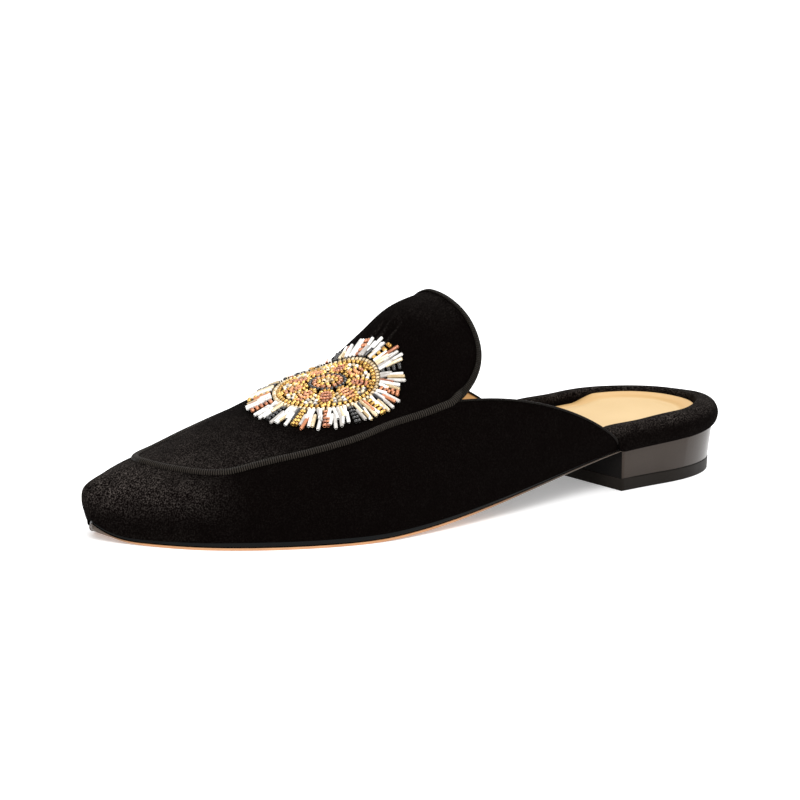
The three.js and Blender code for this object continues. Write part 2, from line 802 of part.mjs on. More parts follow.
addPart('outsole', 'soleLeather', soleLayer(heelBreastAt + clearance, 0, soleBottom, outsoleTop));
addPart('sole_edge', 'glossBlack', soleLayer(
  heelBreastAt + clearance, -edgeProud, (x) => outsoleTop(x) + clearance, edgeTop));
addPart('top_lift', 'heelTip', heelSlab(() => 0, () => topLiftThickness, heelTaper, heelTaper));
addPart('heel_block', 'glossBlack', heelSlab(
  () => topLiftThickness + clearance, (x) => seatHeight(x), heelTaper, 0));
addPart('upper', 'velvet', makeUpper());
addPart('insole', 'insoleLeather', makeInsole());
addPart('heel_rim', 'velvet', makeRim());
addPart('apron_strip', 'grosgrain', makeStrip());
const tongueColumns = [lowColumns + 1, lastColumn - lowColumns - 1];
const lateralColumns = [2, lowColumns - 1];
const medialColumns = [lastColumn - lowColumns + 1, lastColumn - 2];
addPart('tongue_binding', 'grosgrain', makeBinding(...tongueColumns, tongueBindingDepth));
addPart('quarter_binding_lateral', 'grosgrain', makeBinding(...lateralColumns, quarterBindingDepth));
addPart('quarter_binding_medial', 'grosgrain', makeBinding(...medialColumns, quarterBindingDepth));
addPart('bead_panel', 'beads', makeBeadPanel());

const box = new THREE.Box3().setFromObject(group);
const middle = box.getCenter(new THREE.Vector3());
group.position.set(-middle.x, -middle.y, -box.min.z);

export default group;
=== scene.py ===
import math
import bmesh
import bpy
import numpy as np
from mathutils import Matrix, Vector


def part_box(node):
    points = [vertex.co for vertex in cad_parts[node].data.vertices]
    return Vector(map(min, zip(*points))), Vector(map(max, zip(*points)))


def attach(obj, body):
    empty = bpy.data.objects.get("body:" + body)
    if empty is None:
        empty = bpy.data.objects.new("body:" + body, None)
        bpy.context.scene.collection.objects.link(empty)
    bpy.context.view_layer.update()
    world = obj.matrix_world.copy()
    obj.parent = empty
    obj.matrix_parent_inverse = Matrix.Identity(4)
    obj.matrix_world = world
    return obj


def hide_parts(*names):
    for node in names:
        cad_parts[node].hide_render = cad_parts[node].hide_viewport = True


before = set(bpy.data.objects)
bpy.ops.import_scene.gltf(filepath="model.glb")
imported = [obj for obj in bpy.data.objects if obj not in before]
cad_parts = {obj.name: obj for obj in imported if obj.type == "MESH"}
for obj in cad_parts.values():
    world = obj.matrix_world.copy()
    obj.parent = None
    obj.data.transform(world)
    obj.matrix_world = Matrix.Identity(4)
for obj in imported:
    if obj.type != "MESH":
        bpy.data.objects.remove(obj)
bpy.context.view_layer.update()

mm = 0.001
lateral, medial = 1.0, -1.0

# Sizes of the last in millimetres: x from the back of the heel, y to the lateral side, z up
last = {
    "length": 240.9, "heelLateral": 30.1, "heelMedial": 29.2, "heelWidestAt": 41.6,
    "waistMedial": 24.5, "waistAt": 101.7, "ballLateral": 40.4, "ballLateralAt": 160.6,
    "ballMedial": 40.6, "ballMedialAt": 172.8, "toeAcross": -14.7,
    "toeTurnBack": 18.2, "toeTurnAcross": 10.3, "toeTurnSlope": 1.29, "toeTurnPull": 0.53,
    "heelHeight": 13.75, "breastAt": 59.8, "seatSlope": 0.034, "flatFrom": 176.4,
    "springLength": 12.3, "toeSpring": 4.8, "springPower": 3.2, "breastLeave": 0.13,
    "outsole": 1.2, "edge": 1.9, "waistThinning": 0.5, "gap": 0.35,
    "instep": 70.0, "wall": 1.8, "featherInset": 2.2, "upperBackAt": 50.0, "toeCrownBack": 30.0,
    "girthShare": 0.3, "tongueBackAt": 114.2, "notchAt": 134.0, "notchHeight": 39.8,
    "quarterBackAt": 62.0, "quarterBackHeight": 15.0, "quarterSlack": 3.0, "tongueCurl": 3.15,
    "quarterCurl": 0.8, "medialDrop": 0.7,
    "handleLateral": 0.323, "handleMedial": 0.4, "toeReach": 0.397, "toePull": 0.543,
}
circleHandle = 0.5523  # handle of a Bezier quarter circle, as a share of its radius
tiny = 1e-12

# Cross-sections from the heel to the toe: one column per number of a rib
sectionAt = np.array([0.18, 0.27, 0.36, 0.45, 0.53, 0.61, 0.69, 0.77, 0.85, 0.93, 1.00])
sections = {
    "ridge": np.array([1.252, 1.167, 1.083, 0.983, 0.907, 0.681, 0.593, 0.491, 0.392, 0.336, 0.335]),
    "across": np.array([0.23, 0.23, 0.245, 0.26, 0.305, 0.40, 0.50, 0.62, 0.77, 0.90, 1.00]),
    "girth": np.array([0.20, 0.20, 0.24, 0.28, 0.30, 0.30, 0.28, 0.25, 0.22, 0.18, 0.15]),
    "swell": np.array([6.2, 6.0, 4.8, 3.8, 3.4, 3.4, 3.4, 3.5, 3.7, 3.8, 3.2]),
    "side": np.array([0.62, 0.62, 0.60, 0.56, 0.52, 0.50, 0.48, 0.46, 0.46, 0.46, 0.38]),
    "crown": np.array([0.40, 0.42, 0.44, 0.46, 0.50, 0.52, 0.54, 0.56, 0.58, 0.74, 0.92]),
}
seamAt = np.array([0.20, 0.40, 0.551, 0.61, 0.66, 0.72, 0.77, 0.82, 0.87, 0.91, 0.935, 1.00])
seamRise = np.array([1.40, 1.12, 1.00, 0.910, 0.851, 0.769, 0.705, 0.643, 0.574, 0.569, 0.605, 0.700])

# Where the last stands in the frame: its heel block ends at the breast and at the widest line
blockLow, blockHigh = (np.array(corner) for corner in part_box("heel_block"))
origin = np.array([blockHigh[0] - last["breastAt"] * mm, blockHigh[1] - last["heelLateral"] * mm, 0.0])
print("frame loaded, last starts at", np.round(origin, 5))


def toFrame(points):  # millimetres of the last to metres of the frame
    return np.asarray(points) * mm + origin


def mix(a, b, t):
    return a + (b - a) * t


def smoothStep(t):
    k = np.clip(t, 0, 1)
    return k * k * (3 - 2 * k)


def rising(value, start, run):  # soft step from 0 at start to 1 at start + run
    return smoothStep((value - start) / run)


def bump(t):  # one soft hill of height 1 over -1..1: (1 - t squared) squared
    return np.where(np.abs(t) < 1, (1 - np.minimum(1, t * t)) ** 2, 0)


def bezier(p0, p1, p2, p3, t):
    r = 1 - t
    return r * r * r * p0 + 3 * r * r * t * p1 + 3 * r * t * t * p2 + t * t * t * p3


# Smooth curve through a column of a table: each span is a cubic whose end slopes come from the rows around it
def fromTable(at, column, share):
    i = np.clip(np.searchsorted(at, share, side="right") - 1, 0, len(at) - 2)
    before, after = np.maximum(i - 1, 0), np.minimum(i + 2, len(at) - 1)
    span = at[i + 1] - at[i]
    slopeA = (column[i + 1] - column[before]) / (at[i + 1] - at[before])
    slopeB = (column[after] - column[i]) / (at[after] - at[i])
    t = (share - at[i]) / span
    first, final = column[i], column[i + 1]
    return bezier(first, first + slopeA * span / 3, final - slopeB * span / 3, final, t)


# Outline of one side as Bezier pieces, sampled finely into x and distance from the axis
def outlineTable(side):
    s = last
    isLateral = side == lateral
    heel = s["heelLateral"] if isLateral else s["heelMedial"]
    ball = s["ballLateral"] if isLateral else s["ballMedial"]
    ballAt = s["ballLateralAt"] if isLateral else s["ballMedialAt"]
    tip = s["toeAcross"] * side
    away = s["heelWidestAt"] * (1 - circleHandle)
    start = (s["heelWidestAt"], heel)
    pieces = [((0, 0), (0, heel * circleHandle), (away, heel), start)]
    if isLateral:
        pull = (ballAt - start[0]) * s["handleLateral"]
        turn = np.array([s["length"] - s["toeTurnBack"], s["toeTurnAcross"]])
        before = np.array([turn[0] - (ball - turn[1]) / s["toeTurnSlope"], ball])
        after = np.array([s["length"], turn[1] - s["toeTurnBack"] * s["toeTurnSlope"]])
        widest, end = np.array([ballAt, ball]), np.array([s["length"], tip])
        pieces.append((start, (start[0] + pull, heel), (ballAt - pull, ball), widest))
        pull = s["toeTurnPull"]
        pieces.append((widest, mix(widest, before, pull), mix(turn, before, pull), turn))
        pieces.append((turn, mix(turn, after, pull), mix(end, after, pull), end))
    else:
        waist, waistAt = s["waistMedial"], s["waistAt"]
        pullA, pullB = (waistAt - start[0]) * s["handleMedial"], (ballAt - waistAt) * s["handleMedial"]
        reach = (s["length"] - ballAt) * s["toeReach"]
        inward = (s["length"], mix(tip, ball, s["toePull"]))
        pieces.append((start, (start[0] + pullA, heel), (waistAt - pullA, waist), (waistAt, waist)))
        pieces.append(((waistAt, waist), (waistAt + pullB, waist), (ballAt - pullB, ball), (ballAt, ball)))
        pieces.append(((ballAt, ball), (ballAt + reach, ball), inward, (s["length"], tip)))
    t = np.linspace(0, 1, 1500)[:, None]
    curve = np.vstack([bezier(*[np.array(p, float) for p in piece], t) for piece in pieces])
    return curve[:, 0], curve[:, 1]


outlines = {side: outlineTable(side) for side in (lateral, medial)}


def outlineAt(side, x):
    return np.interp(x, *outlines[side])


def seatHeight(x):
    return last["heelHeight"] + last["seatSlope"] * (last["breastAt"] - x)


# Underside of the sole: a cubic arch from the breast down to the flat forefoot, which leaves the breast at a
# slope of its own, then the toe spring as a power of the share of its length
def soleBottom(x):
    s = last
    run = s["flatFrom"] - s["breastAt"]
    t = np.clip((s["flatFrom"] - x) / run, 0, 1)
    leave = s["breastLeave"] * run / s["heelHeight"]
    arch = s["heelHeight"] * t * t * (3 - leave + (leave - 2) * t)
    rise = np.clip((x - s["length"] + s["springLength"]) / s["springLength"], 0, 1)
    return arch + s["toeSpring"] * rise ** s["springPower"]


# Thickness of the sole's layers as a share of the forefoot's: they thin softly from there to the breast
def layerShare(x):
    back = (last["flatFrom"] - x) / (last["flatFrom"] - last["breastAt"])
    return 1 - last["waistThinning"] * smoothStep(back)


def outsoleTop(x):
    return soleBottom(x) + last["outsole"] * layerShare(x)


def edgeTop(x):
    return outsoleTop(x) + last["gap"] + last["edge"] * layerShare(x)


def featherHeight(x):
    return edgeTop(x) + last["gap"]


# Point of the outline at share s of the upper's length, and its outward direction in plan; x follows the sine
# of a quarter turn, so the ribs gather toward the tip
def footOf(side, s):
    def place(k):
        x = mix(last["upperBackAt"], last["length"], np.sin(np.pi / 2 * np.clip(k, 0, 1)))
        return np.stack([x, side * outlineAt(side, x), 0 * x], -1)

    step = 0.002
    along = place(s + step) - place(s - step)
    out = np.stack([along[..., 1], -along[..., 0], 0 * along[..., 0]], -1) * -side
    out /= np.linalg.norm(out, axis=-1, keepdims=True) + tiny
    out = np.where((s > 1 - step)[..., None], np.array([1.0, 0, 0]), out)
    return place(s), out


def ridgeAt(x):
    share = x / last["length"]
    y = last["toeAcross"] * fromTable(sectionAt, sections["across"], share)
    z = last["instep"] * fromTable(sectionAt, sections["ridge"], share)
    return np.stack([x, y, z], -1)


# Rib of the last at share v of it: up to girthShare a quarter ellipse turns out from the feather edge, then a
# Bezier curve rises to the ridge, which it meets along the ridge's own slope
def ribPoint(side, s, v):
    s, v = np.broadcast_arrays(np.asarray(s, float), np.asarray(v, float))
    here, out = footOf(side, s)
    share = here[..., 0] / last["length"]
    column = {name: fromTable(sectionAt, values, share) for name, values in sections.items()}
    foot = here - out * last["featherInset"]
    foot[..., 2] = featherHeight(here[..., 0])
    turn = np.pi / 2 * np.minimum(1, v / last["girthShare"])
    low = foot + out * (column["swell"] * np.sin(turn))[..., None]
    low[..., 2] += last["notchHeight"] * column["girth"] * (1 - np.cos(turn))
    t = np.clip((v - last["girthShare"]) / (1 - last["girthShare"]), 0, 1)[..., None]
    back = (here[..., 0] - last["upperBackAt"]) / (last["length"] - last["upperBackAt"])
    ridgeX = here[..., 0] - last["toeCrownBack"] * back ** 3
    ridge = ridgeAt(ridgeX)
    slope = (ridgeAt(ridgeX + 1)[..., 2] - ridgeAt(ridgeX - 1)[..., 2]) / 2
    p1 = low.copy()
    p1[..., 2] += column["side"] * (ridge[..., 2] - low[..., 2])
    p2 = ridge.copy()
    p2[..., :2] = mix(ridge[..., :2], low[..., :2], column["crown"][..., None])
    p2[..., 2] += slope * (p2[..., 0] - ridge[..., 0])
    return bezier(low, p1, p2, ridge, t)


def seamHeight(x):
    return last["notchHeight"] * fromTable(seamAt, seamRise, x / last["length"])


# Share of each rib at which the seam crosses it, found by halving for all ribs at once
seamRibs = np.linspace(0, 1, 700)


def seamTable(side):
    low, high = np.full(len(seamRibs), 0.02), np.full(len(seamRibs), 0.98)
    for _ in range(26):
        v = (low + high) / 2
        p = ribPoint(side, seamRibs, v)
        below = p[:, 2] < seamHeight(p[:, 0])
        low, high = np.where(below, v, low), np.where(below, high, v)
    return (low + high) / 2


seamShares = {side: seamTable(side) for side in (lateral, medial)}


# Wall point by its share of the wall: 0 feather edge, 1 seam, 2 ridge
def wallPoint(side, s, w):
    s, w = np.broadcast_arrays(np.asarray(s, float), np.asarray(w, float))
    seam = np.interp(s, seamRibs, seamShares[side])
    return ribPoint(side, s, np.where(w <= 1, w * seam, seam + (w - 1) * (1 - seam)))


def quarterTop(x):
    t = np.clip((last["notchAt"] - x) / (last["notchAt"] - last["quarterBackAt"]), 0, 1)
    drop = last["notchHeight"] - last["quarterBackHeight"]
    return last["notchHeight"] - drop * (1 - (1 - t * t) ** last["quarterCurl"])


def tongueEdge(z):
    t = np.clip((last["instep"] - z) / (last["instep"] - last["notchHeight"]), 0, 1)
    return last["tongueBackAt"] + (last["notchAt"] - last["tongueBackAt"]) * t ** last["tongueCurl"]


def isKept(side, p, w):
    lower = last["medialDrop"] if side == medial else 0.0
    x, z = p[..., 0], p[..., 2]
    quarter = (x > last["quarterBackAt"] - last["quarterSlack"]) & (z < quarterTop(x) - lower)
    return np.where(w <= 1, quarter, x > tongueEdge(z))


# Rib share at which each lengthwise line meets the cut edge: the last rib outside is found on a coarse grid,
# and the crossing beyond it by halving
def trimAt(side, w, steps=240):
    grid = np.linspace(0, 1, steps + 1)[:, None]
    kept = isKept(side, wallPoint(side, grid, w[None]), w[None])
    lastOut = np.where(kept, -1, np.arange(steps + 1)[:, None]).max(0)
    outside, inside = np.maximum(lastOut, 0) / steps, np.minimum(lastOut + 1, steps) / steps
    for _ in range(24):
        middle = (inside + outside) / 2
        good = isKept(side, wallPoint(side, middle, w), w)
        inside, outside = np.where(good, middle, inside), np.where(good, outside, middle)
    return inside


def smoothShade(mesh):
    mesh.polygons.foreach_set("use_smooth", np.ones(len(mesh.polygons), bool))


# Puts points and faces into a mesh object; faces is a list of integer arrays, each of faces of one size. The
# faces are turned outward by the sign of the volume they enclose
def makeMesh(name, points, faces, attributes=None):
    points = np.asarray(points, float)
    volume = 0.0
    for f in faces:
        a = points[f[:, 0]]
        for k in range(1, f.shape[1] - 1):
            volume += np.einsum("ij,ij->i", a, np.cross(points[f[:, k]], points[f[:, k + 1]])).sum()
    if volume < 0:
        faces = [f[:, ::-1] for f in faces]
    mesh = bpy.data.meshes.new(name)
    corners = np.concatenate([f.ravel() for f in faces]).astype(np.int32)
    sizes = np.concatenate([np.full(len(f), f.shape[1]) for f in faces])
    starts = np.concatenate([[0], np.cumsum(sizes)[:-1]]).astype(np.int32)
    mesh.vertices.add(len(points))
    mesh.vertices.foreach_set("co", toFrame(points).astype(np.float32).ravel())
    mesh.loops.add(len(corners))
    mesh.loops.foreach_set("vertex_index", corners)
    mesh.polygons.add(len(starts))
    mesh.polygons.foreach_set("loop_start", starts)
    mesh.update(calc_edges=True)
    smoothShade(mesh)
    for label, values in (attributes or {}).items():
        mesh.attributes.new(label, "FLOAT", "POINT").data.foreach_set("value", np.asarray(values, np.float32))
    mesh.validate()
    piece = bpy.data.objects.new(name, mesh)
    bpy.context.scene.collection.objects.link(piece)
    return piece


# Merges points that lie within a few thousandths of a millimetre; distance is in metres
def mergeClose(piece, distance=2e-6):
    work = bmesh.new()
    work.from_mesh(piece.data)
    bmesh.ops.remove_doubles(work, verts=work.verts, dist=distance)
    bmesh.ops.dissolve_degenerate(work, edges=work.edges, dist=distance / 2)
    work.to_mesh(piece.data)
    work.free()
    smoothShade(piece.data)


# Quads between the points of a grid whose numbers are given; wrap joins the last column to the first
def gridFaces(ids, wrapColumns=False):
    if wrapColumns:
        ids = np.concatenate([ids, ids[:, :1]], axis=1)
    return np.stack([ids[:-1, :-1], ids[1:, :-1], ids[1:, 1:], ids[:-1, 1:]], -1).reshape(-1, 4)


# Quads between two rows of point numbers
def stitch(a, b):
    return np.stack([a[:-1], a[1:], b[1:], b[:-1]], -1)


# Ladder of quads across a closed ring, from its first and last point to its middle
def ringLadder(ring):
    count = len(ring)
    j = np.arange(count // 2 - 1)
    return np.stack([ring[j], ring[j + 1], ring[count - 2 - j], ring[count - 1 - j]], -1)


# Rings of equal count, joined and closed at both ends by a ladder of quads across the ring
def loft(name, rings, attributes):
    ids = np.arange(rings.shape[0] * rings.shape[1]).reshape(rings.shape[:2])
    faces = [gridFaces(ids, wrapColumns=True), ringLadder(ids[0])[:, ::-1], ringLadder(ids[-1])]
    return makeMesh(name, rings.reshape(-1, 3), faces, {k: v.reshape(-1) for k, v in attributes.items()})


# Closed profile rows to a smooth ring: each span is a cubic through its neighbours
def smoothRing(rows, count):
    rows = np.asarray(rows, float)
    n = len(rows)
    place = np.arange(count) * n / count
    i = np.floor(place).astype(int) % n
    t = (place - np.floor(place))[:, None]
    a, b, c, d = rows[(i - 1) % n], rows[i], rows[(i + 1) % n], rows[(i + 2) % n]
    return bezier(b, b + (c - a) / 6, c - (d - b) / 6, c, t)


# Shaders

def newMaterial(name):
    material = bpy.data.materials.new(name)
    material.use_nodes = True
    tree = material.node_tree
    return material, tree, tree.nodes["Principled BSDF"]


# Links each input to another node's output, or sets it to a number or a colour
def feed(tree, node, values):
    for key, value in values.items():
        if isinstance(value, bpy.types.NodeSocket):
            tree.links.new(value, node.inputs[key])
        else:
            node.inputs[key].default_value = (*value, 1) if isinstance(value, tuple) else value


def newNode(tree, kind, values, **settings):
    node = tree.nodes.new(kind)
    for key, value in settings.items():
        setattr(node, key, value)
    feed(tree, node, values)
    return node


def objectPlace(tree):
    return newNode(tree, "ShaderNodeTexCoord", {}).outputs["Object"]


def attributeOf(tree, name):
    return newNode(tree, "ShaderNodeAttribute", {}, attribute_name=name).outputs["Fac"]


def ramp(tree, source, lowAt, low, highAt, high):
    node = newNode(tree, "ShaderNodeValToRGB", {"Fac": source})
    for element, at, color in zip(node.color_ramp.elements, (lowAt, highAt), (low, high)):
        element.position = at
        element.color = (*color, 1)
    return node.outputs["Color"]


def mapRange(tree, source, fromMin, fromMax, toMin, toMax):
    values = {"Value": source, "From Min": fromMin, "From Max": fromMax, "To Min": toMin, "To Max": toMax}
    return newNode(tree, "ShaderNodeMapRange", values).outputs["Result"]


def mathNode(tree, operation, *values):
    return newNode(tree, "ShaderNodeMath", dict(enumerate(values)), operation=operation).outputs[0]


def noise(tree, place, scale, detail, roughness):
    values = {"Vector": place, "Scale": scale, "Detail": detail, "Roughness": roughness}
    return newNode(tree, "ShaderNodeTexNoise", values).outputs["Fac"]


def bumpNode(tree, height, strength, distance, normal=None):
    values = {"Height": height, "Strength": strength, "Distance": distance}
    if normal is not None:
        values["Normal"] = normal
    return newNode(tree, "ShaderNodeBump", values).outputs["Normal"]


# The mix node's inputs for colours are its seventh and eighth
def mixColors(tree, share, first, second):
    values = {0: share, 6: first, 7: second}
    return newNode(tree, "ShaderNodeMix", values, data_type="RGBA").outputs[2]


# Velvet: the colour goes from the near-black base to the lighter tips by the product of fine clumps, broad
# # patches and the attribute of painted sheen. The lighter tips are painted sheen, speckled by the clumps of
# the pile
velvet = {
    "base": (0.0015, 0.0009, 0.0008), "tips": (0.080, 0.068, 0.061), "clumps": 2150.0, "waves": 160.0,
    "roughness": 0.95, "specular": 0.008,
    "sheen": 0.006, "sheenRoughness": 0.45, "sheenTint": (0.55, 0.50, 0.46),
}


def velvetMaterial(name):
    material, tree, shader = newMaterial(name)
    place = objectPlace(tree)
    clumps = noise(tree, place, velvet["clumps"], 2.0, 0.75)
    waves = noise(tree, place, velvet["waves"], 3.0, 0.6)
    tips = ramp(tree, clumps, 0.47, (0, 0, 0), 0.66, (1, 1, 1))
    amount = mathNode(tree, "MULTIPLY", tips, mapRange(tree, waves, 0.35, 0.7, 0.45, 1.0))
    share = mathNode(tree, "MULTIPLY", amount, attributeOf(tree, "paintedSheen"))
    relief = bumpNode(tree, waves, 0.35, 0.0008)
    feed(tree, shader, {
        "Base Color": mixColors(tree, share, velvet["base"], velvet["tips"]),
        "Roughness": velvet["roughness"], "Specular IOR Level": velvet["specular"],
        "Sheen Weight": velvet["sheen"], "Sheen Roughness": velvet["sheenRoughness"],
        "Sheen Tint": velvet["sheenTint"], "Normal": bumpNode(tree, clumps, 0.6, 0.0003, relief),
    })
    return material


# Ribbed tapes: the tape's colour on the ribs and painted shade in the grooves, by the sine of the attribute
# "along" in millimetres
tapes = {
    "ribbedTape": {"rib": (0.038, 0.031, 0.025), "grooveShade": (0.002, 0.0016, 0.0012), "pitch": 0.72},
    "tongueTape": {"rib": (0.017, 0.013, 0.009), "grooveShade": (0.002, 0.0015, 0.001), "pitch": 0.72},
    "edgeTape": {"rib": (0.013, 0.0105, 0.0085), "grooveShade": (0.004, 0.003, 0.0025), "pitch": 0.6},
}


def tapeMaterial(name, rib, grooveShade, pitch):
    material, tree, shader = newMaterial(name)
    turns = mathNode(tree, "MULTIPLY", attributeOf(tree, "along"), 2 * math.pi / pitch)
    lifted = mapRange(tree, mathNode(tree, "SINE", turns), -1, 1, 0, 1)
    threads = noise(tree, objectPlace(tree), 900.0, 3.0, 0.6)
    colors = ramp(tree, lifted, 0.12, grooveShade, 0.75, rib)
    tone = mapRange(tree, threads, 0.3, 0.7, 0.65, 1.15)
    shade = newNode(tree, "ShaderNodeVectorMath", {0: colors, "Scale": tone}, operation="SCALE")
    ribs = bumpNode(tree, lifted, 1.0, 0.0004)
    feed(tree, shader, {
        "Base Color": shade.outputs[0], "Roughness": 0.6, "Specular IOR Level": 0.05,
        "Normal": bumpNode(tree, threads, 0.3, 0.0002, ribs),
    })
    return material


# Black finishes: two close tones in soft clouds, fine grain as bump
finishes = {
    "edgePolish": {"light": (0.004, 0.0037, 0.0035), "dark": (0.002, 0.002, 0.002), "roughness": 0.13,
                   "specular": 0.11, "grain": 700.0, "depth": 0.05, "tint": (0.88, 0.95, 1)},
    "heelPolish": {"light": (0.012, 0.0095, 0.008), "dark": (0.008, 0.0065, 0.0055), "roughness": 0.2,
                   "specular": 0.4, "grain": 500.0, "depth": 0.04, "tint": (1, 0.8, 0.68)},
    "liftRubber": {"light": (0.009, 0.0074, 0.0062), "dark": (0.006, 0.005, 0.0042), "roughness": 0.48,
                   "specular": 0.11, "grain": 1600.0, "depth": 0.1, "tint": (1, 0.88, 0.78)},
    # The breast's darker tones are painted shade; its rougher, less glossy finish is the breast's own
    "breastMattShade": {"light": (0.006, 0.005, 0.0045), "dark": (0.003, 0.0026, 0.0024), "roughness": 0.6,
                   "specular": 0.06, "grain": 1400.0, "depth": 0.15, "tint": (1, 1, 1)},
}


def grainMaterial(name, light, dark, roughness, specular, grain, depth, tint):
    material, tree, shader = newMaterial(name)
    place = objectPlace(tree)
    cloud = noise(tree, place, 60.0, 4.0, 0.6)
    fine = noise(tree, place, grain, 3.0, 0.65)
    feed(tree, shader, {
        "Base Color": ramp(tree, cloud, 0.32, dark, 0.68, light),
        "Roughness": mapRange(tree, cloud, 0.3, 0.7, roughness * 0.85, roughness * 1.2),
        "Specular IOR Level": specular, "Specular Tint": tint, "Normal": bumpNode(tree, fine, depth, 0.0002),
    })
    return material


# Tan leathers that go over to a second, darker colour as the named attribute rises
leathers = {
    "liningTan": {"light": (0.60, 0.36, 0.15), "dark": (0.50, 0.28, 0.11), "second": (0.007, 0.006, 0.0055),
                  "roughness": 0.6, "attribute": "facing"},
    # The outsole's second colour darkens the arch and, at the very tip, is painted shadow
    "outsoleTan": {"light": (0.56, 0.29, 0.14), "dark": (0.46, 0.22, 0.10), "second": (0.075, 0.055, 0.042),
                   "roughness": 0.42, "attribute": "waist"},
}


def shadedLeather(name, light, dark, second, roughness, attribute):
    material, tree, shader = newMaterial(name)
    place = objectPlace(tree)
    colors = ramp(tree, noise(tree, place, 90.0, 4.0, 0.6), 0.32, dark, 0.68, light)
    fine = noise(tree, place, 1400.0, 3.0, 0.6)
    feed(tree, shader, {
        "Base Color": mixColors(tree, attributeOf(tree, attribute), colors, second),
        "Roughness": roughness, "Specular IOR Level": 0.35, "Normal": bumpNode(tree, fine, 0.15, 0.0002),
    })
    return material


# Pale leather of the sock: soft clouds, a slightly darker band of painted shade along the edge, fine grain
def sockLeather():
    material, tree, shader = newMaterial("sockLeather")
    place = objectPlace(tree)
    cloud = noise(tree, place, 45.0, 3.0, 0.5)
    grain = noise(tree, place, 1500.0, 3.0, 0.6)
    # Painted shade: the darker colour in the outer few millimetres of the sock
    band = mapRange(tree, attributeOf(tree, "fromEdge"), 4.2, 6.4, 0.75, 0.0)
    colors = ramp(tree, cloud, 0.3, (0.535, 0.365, 0.16), 0.7, (0.575, 0.40, 0.185))
    feed(tree, shader, {
        "Base Color": mixColors(tree, band, colors, (0.53, 0.315, 0.115)),
        "Roughness": 0.62, "Specular IOR Level": 0.3, "Normal": bumpNode(tree, grain, 0.2, 0.0002),
    })
    return material


velvetPile, rimPile = [velvetMaterial(name) for name in ("velvetPile", "rimPile")]
ribbedTape, tongueTape, edgeTape = [tapeMaterial(name, **values) for name, values in tapes.items()]
liningTan, outsoleTan = [shadedLeather(name, **values) for name, values in leathers.items()]
edgePolish, heelPolish, liftRubber, breastMattShade = [grainMaterial(name, **values)
                                                  for name, values in finishes.items()]
print("materials made")


# Distance of each point to a polyline, both in millimetres, a few spans of the line at a time
def distanceTo(points, line, spans=24):
    a, b = line[:-1], line[1:]
    best = np.full(len(points), np.inf)
    ab = b - a
    length2 = np.maximum(np.einsum("ij,ij->i", ab, ab), tiny)
    for start in range(0, len(a), spans):
        aa, dd, ll = a[start:start + spans], ab[start:start + spans], length2[start:start + spans]
        to = points[:, None] - aa[None]
        t = np.clip(np.einsum("ijk,jk->ij", to, dd) / ll, 0, 1)
        gap = np.linalg.norm(to - t[..., None] * dd[None], axis=-1)
        best = np.minimum(best, gap.min(1))
    return best


def unit(v):
    return v / (np.linalg.norm(v, axis=-1, keepdims=True) + tiny)


# Directions square to a grid of points, from the differences along its rows and columns
def gridNormals(grid):
    along = np.gradient(grid, axis=0)
    across = np.gradient(grid, axis=1)
    return unit(np.cross(along, across))


# Upper

upper = {
    "rows": 190, "lowColumns": 52, "highColumns": 46,
    "overhang": 0.35, "lean": 0.09, "blend": 0.02, "tipUnder": 1.1, "tipUnderFrom": 226.0,
    "drop": 1.25, "toeDrop": 1.8, "toeDropOver": (205.0, 30.0), "dropHeight": 3.0,
    "crown": 0.5, "crownOver": (206.0, 16.0), "crownHeight": 22.0, "crownSpread": 9.0,
    "peak": 0.85, "peakOver": (55.0, 9.0), "foldRows": 14, "foldColumns": 7,
    "band": 0.6, "bandBack": 8.0, "bandOver": (62.0, 10.0), "bandEdge": 0.6,
    "creaseDepth": 0.5, "creaseWidth": 1.4, "creaseFade": (0.8, 2.4),
    "creases": [
        [(143.5, -4.8, 51.3), (139.5, -4.6, 54.4), (135.3, -3.4, 57.7), (132.5, -3.4, 59.6)],
        [(142.5, 0.1, 51.9), (138.5, 0.3, 55.0), (134.6, 1.0, 57.9), (132.0, 1.4, 59.7)],
    ],
}


# Where sheen is painted into the pile as a lighter colour: at the toe, on the apron's front, on the tongue's
# top,
# # beside the creases. Each pair is where the painted sheen begins and the length over which it grows
sheenPaint = {
    "least": 0.04, "most": 1.15,
    "toeOver": (205.0, 28.0), "toeHeight": (7.5, 12.0), "toeLow": 0.1, "toeHigh": 1.1,
    "frontOver": (172.0, 40.0), "front": 0.62, "topOver": (58.0, 12.0), "top": 0.2, "crease": 0.5,
}


# Shares of the wall for the columns: closer together toward the seam, then even up to the ridge
def wallShares():
    low = np.sin(np.pi / 2 * np.arange(upper["lowColumns"]) / upper["lowColumns"])
    high = 1 + np.arange(upper["highColumns"] + 1) / upper["highColumns"]
    return np.concatenate([low, high])


# Grid over the whole upper: rows from the cut edge to the toe, columns up the lateral side and down the
# medial one. The last row is folded, so both halves of it hold the same points
def upperGrid(field):
    w = wallShares()
    share = (np.arange(upper["rows"] + 1) / upper["rows"])[:, None]
    halves = {side: field(side, mix(trims[side][None], 1, share), w[None]) for side in (lateral, medial)}
    ridge = (halves[lateral][:, -1:] + halves[medial][:, -1:]) / 2
    grid = np.concatenate([halves[lateral][:, :-1], ridge, halves[medial][:, -2::-1]], axis=1)
    half = grid.shape[1] // 2
    grid[-1, half + 1:] = grid[-1, :half][::-1]
    return grid


